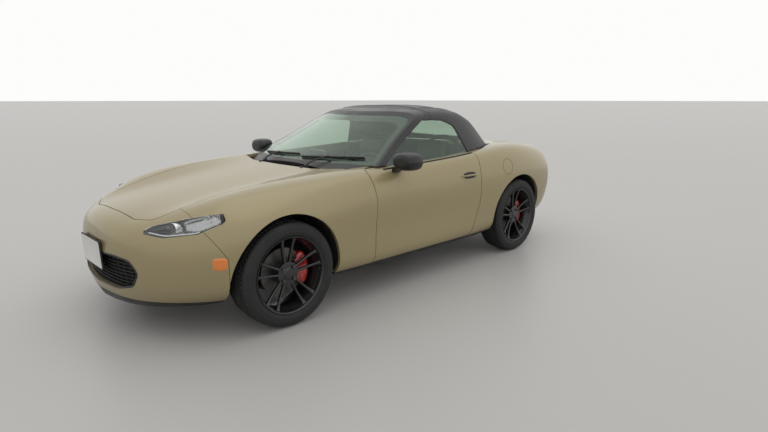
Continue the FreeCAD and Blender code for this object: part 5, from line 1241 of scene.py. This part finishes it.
def makeStruts():
    s = strutSet
    across, y = s["place"][:2]
    Piece().lathe(s["tower"], 60, s["place"]).made("strutTowers", pewter, slot="cast_metal", both=True)
    brace, bolts = Piece().rod(smoothLine(s["brace"], 60), oval(0.015, 0.0085, 16)), Piece()
    for x in (-across, across):
        brace.lathe(s["foot"], 44, (x, y, s["plate"]))
        for a in 2 * np.pi * np.arange(3) / 3 + 0.5:
            spot = (x + s["circle"] * math.cos(a), y + s["circle"] * math.sin(a), s["bolt"])
            bolts.lathe(s["screw"], 6, spot)
    brace.made("strutBrace", satinSilver, slot="steel")
    slam = moulded(roundedRing(s["slam"], 0.03, 160), "front_tub", "-z", 0.003, 0.002, edge=24)
    Piece().grid(slam).made("slamPanel", blackTrim)
    y, half, count = s["ledge"]
    for spot in cast("front_tub", "-z", np.linspace(-half, half, count), y):
        bolts.lathe(s["clip"], 20, spot)
    bolts.made("bayFasteners", darkSteel)
    print("struts")


def makeBaySeals():
    s = strutSet
    edge = roundedRing(s["seal"], 0.03, 200)
    edge = edge[edge[:, 1] < s["open"]]  # left open towards the windscreen
    edge = np.roll(edge, -1 - np.argmax(np.linalg.norm(np.diff(edge, axis=0), axis=1)), 0)
    path = cast("front_tub", "-z", edge[:, 0], edge[:, 1]) + (0, 0, 0.0012)
    Piece().rod(path, oval(0.006, 0.0024, 10)).made("baySeal", sealRubber)
    net = moulded(roundedRing(s["liner"], 0.06, 200), "hood", "+z", 0.006, 0.003, 25, 20)
    net[2:, :, 2] += 0.0022 * np.cos(net[2:, :, 0] * 52) * np.cos(net[2:, :, 1] * 52)
    Piece().grid(net).made("hoodLiner", rubberMat, "hood", crease=60.0)
    jets, leads = Piece(), Piece()
    for spot in cast("hood", "-z", np.array(s["jets"]), s["jetRow"]):
        jets.block(spot + (0, 0, 0.002), (0.009, 0.013, 0.0055), 0.7, 13, 24)
    jets.made("washerJets", blackTrim, "hood")
    for start, end in np.array(baySet["leads"]):
        path = [start - (0, 0, 0.02), start + (0, 0, 0.006), (start + end) / 2 + (0, 0, 0.01), end]
        leads.rod(smoothLine(path, 30), oval(0.0055, 0.0055, 12))
    leads.made("bayPipes", sealRubber)
    print("bay seals")


# Ribbed mats, boot lid liner, tail insert and reflectors, and lips in the wheel arches
trimSet = {"lid": [(-0.4, 1.385), (0.4, 1.385), (0.38, 1.735), (-0.38, 1.735)],
           "insert": [(-0.225, 0.228), (0.225, 0.228), (0.195, 0.318), (-0.195, 0.318)], "reflector": (0.585, 0.345),
           "arches": (("fender_left", -1.1925), ("quarter_left", 1.1175)), "arch": (0.3535, 0.308, 0.3, 2.84),
           "floorMat": {"half": (0.135, 0.3), "counts": (41, 61), "edge": 12, "lift": 0.0045, "rib": 0.0012,
                        "waves": (0, 14), "reach": (0.8, 0.85)},
           "bootMat": {"half": (0.432, 0.19), "counts": (81, 41), "edge": 20, "lift": 0.006, "rib": 0.001,
                       "waves": (20, 0), "reach": (1.1, 0.85)}}


def ribbedMat(name, place):
    s = trimSet[name]
    net = np.stack(np.meshgrid(*(np.linspace(-1, 1, count) for count in s["counts"])), -1)
    edge = np.clip(1 - (np.abs(net) ** s["edge"]).max(-1), 0, 1)
    ribs = s["rib"] * np.cos(net * np.pi * s["waves"]).prod(-1) * (np.abs(net) < s["reach"]).all(-1)
    return np.concatenate([net * s["half"] + place[:2], (place[2] + (s["lift"] + ribs) * edge)[..., None]], -1)


def makeTrims():
    s, mats, fins, lips = trimSet, Piece(), Piece(), Piece()
    for x in (0.275, -0.275):
        mats.grid(ribbedMat("floorMat", (x, -0.33, 0.2062)), around=False)
    mats.made("floorMats", rubberMat, wall=0.0015)
    Piece().grid(ribbedMat("bootMat", (0.0, 1.559, 0.3312)), around=False).made("bootMat", rubberMat, wall=0.002)
    lid = moulded(roundedRing(s["lid"], 0.05, 160), "boot_lid", "+z", 0.0055, 0.003, 15, 16)
    Piece().grid(lid).made("lidLiner", rubberMat, "boot_lid", crease=60.0)
    Piece().block((0.0, 1.8, 0.8305), (0.03, 0.016, 0.006), 0.35, 11, 32).made("bootStriker", darkSteel)
    for x in np.linspace(-0.165, 0.165, 5):
        line = cast("rear_bumper", "-y", x, np.linspace(0.234, 0.306, 12))
        fins.rod(line, oval(0.0035, 0.01, 12, 0.7), (0, 1, 0))
    fins.made("tailFins", blackTrim)
    base = moulded(roundedRing(s["insert"], 0.018, 120), "rear_bumper", "-y", 0.0025, 0.002, edge=18)
    Piece().grid(base).made("tailInsert", blackTrim)
    reflector = moulded(oval(0.055, 0.013, 48, 0.4) + s["reflector"], "rear_bumper", "-y", 0.004, 0.002)
    Piece().grid(reflector).made("rearReflectors", redLens, both=True)
    radius, level, first, last = s["arch"]
    u = np.linspace(first, last, 90)
    for node, y in s["arches"]:
        path = cast(node, "-x", y - radius * np.cos(u), level + radius * np.sin(u))
        lips.rod(path[path[:, 0] < 1.0] - right * 0.003, oval(0.0035, 0.0022, 10), (1, 0, 0))
    lips.made("archLips", sealRubber, both=True)
    print("trims")


makeHeadlamps()
makeMouth()
makePlate("front")
makePlate("rear")
makeSides()
makeWipers()
makeTail()
makeTop()
makeSeats()
makeSteering()
makeDials()
makeDashboard()
makeConsole()
makeFittings()
makeDoorLiners()
makeEngine()
makeBayParts()
makeStruts()
makeBaySeals()
makeTrims()

# Stage: pale floor to the horizon, and a sky that is white for the camera and for gloss; its light is softest
# overhead, stronger down to the horizon, with a little more of it from the side and from behind
stageSet = {"floor": (0.53, 0.518, 0.497), "size": 400.0, "horizon": 1.0, "zenith": 0.72, "high": 0.75,
            "fromSide": 0.12, "fromBehind": 0.14, "white": (0.98, 0.98, 0.965, 1.0)}


def makeStage():
    s, mesh = stageSet, bpy.data.meshes.new("studioFloor")
    mesh.from_pydata(np.insert(fourCorners * s["size"], 2, 0.0, axis=1).tolist(), [], [(0, 1, 2, 3)])
    floor = link("studioFloor", mesh)
    f = Finish("paleFloor")
    mesh.materials.append(f.surface(f.tint(f.noise(0.7), s["floor"], scaled(s["floor"], 0.97)), 0.42))
    sky = Finish("softStudio", bpy.data.worlds)
    bpy.context.scene.world = sky.owner
    camera, gloss, through = (sky.node("ShaderNodeLightPath", {}, (), "Is " + kind + " Ray")
                              for kind in ("Camera", "Glossy", "Transmission"))
    seen = sky.maths("MAXIMUM", camera, sky.maths("MAXIMUM", gloss, through))
    towards = sky.node("ShaderNodeTexCoord", {}, (), "Generated")
    rise = sky.span(sky.along("Z", towards), 0.0, s["high"], s["horizon"], s["zenith"], interpolation_type="SMOOTHSTEP")
    strength = rise + sky.along("X", towards) * s["fromSide"] + sky.along("Y", towards) * s["fromBehind"]
    soft = sky.node("ShaderNodeBackground", {}, [(1.0, 1.0, 1.0, 1.0), strength])
    white = sky.node("ShaderNodeBackground", {}, [s["white"], 1.0])
    sky.close(sky.node("ShaderNodeMixShader", {}, [seen, soft, white]), "ShaderNodeOutputWorld")


def areaLight(name, place, aim, size, power):
    data = bpy.data.lights.new(name, "AREA")
    data.size, data.energy = size, power
    lamp = link(name, data)
    lamp.location = place
    lamp.rotation_mode = "QUATERNION"
    lamp.rotation_quaternion = (Vector(aim) - Vector(place)).to_track_quat("-Z", "Y")


makeStage()
areaLight("overheadSoftbox", (0.5, -0.5, 5.0), (0.0, 0.0, 0.0), 5.0, 35.0)

# Camera as the photograph was taken: front left corner, eye level a little above the roof, wide lens
view = {"azimuth": 45.776, "pitch": 12.358, "distance": 4.3946, "aside": 0.2488, "height": 0.3359, "lens": 25.01}
turn, dip = math.radians(view["azimuth"]), math.radians(view["pitch"])
ahead = Vector((-math.sin(turn) * math.cos(dip), math.cos(turn) * math.cos(dip), -math.sin(dip)))
target = Vector((math.cos(turn) * view["aside"], math.sin(turn) * view["aside"], view["height"]))
camera = link("photoCamera", bpy.data.cameras.new("photoCamera"))
camera.data.lens = view["lens"]
camera.data.clip_end = 900.0
camera.location = target - ahead * view["distance"]
camera.rotation_mode = "QUATERNION"
camera.rotation_quaternion = ahead.to_track_quat("-Z", "Y")
bpy.context.scene.camera = camera
bpy.context.scene.view_settings.view_transform = "Standard"
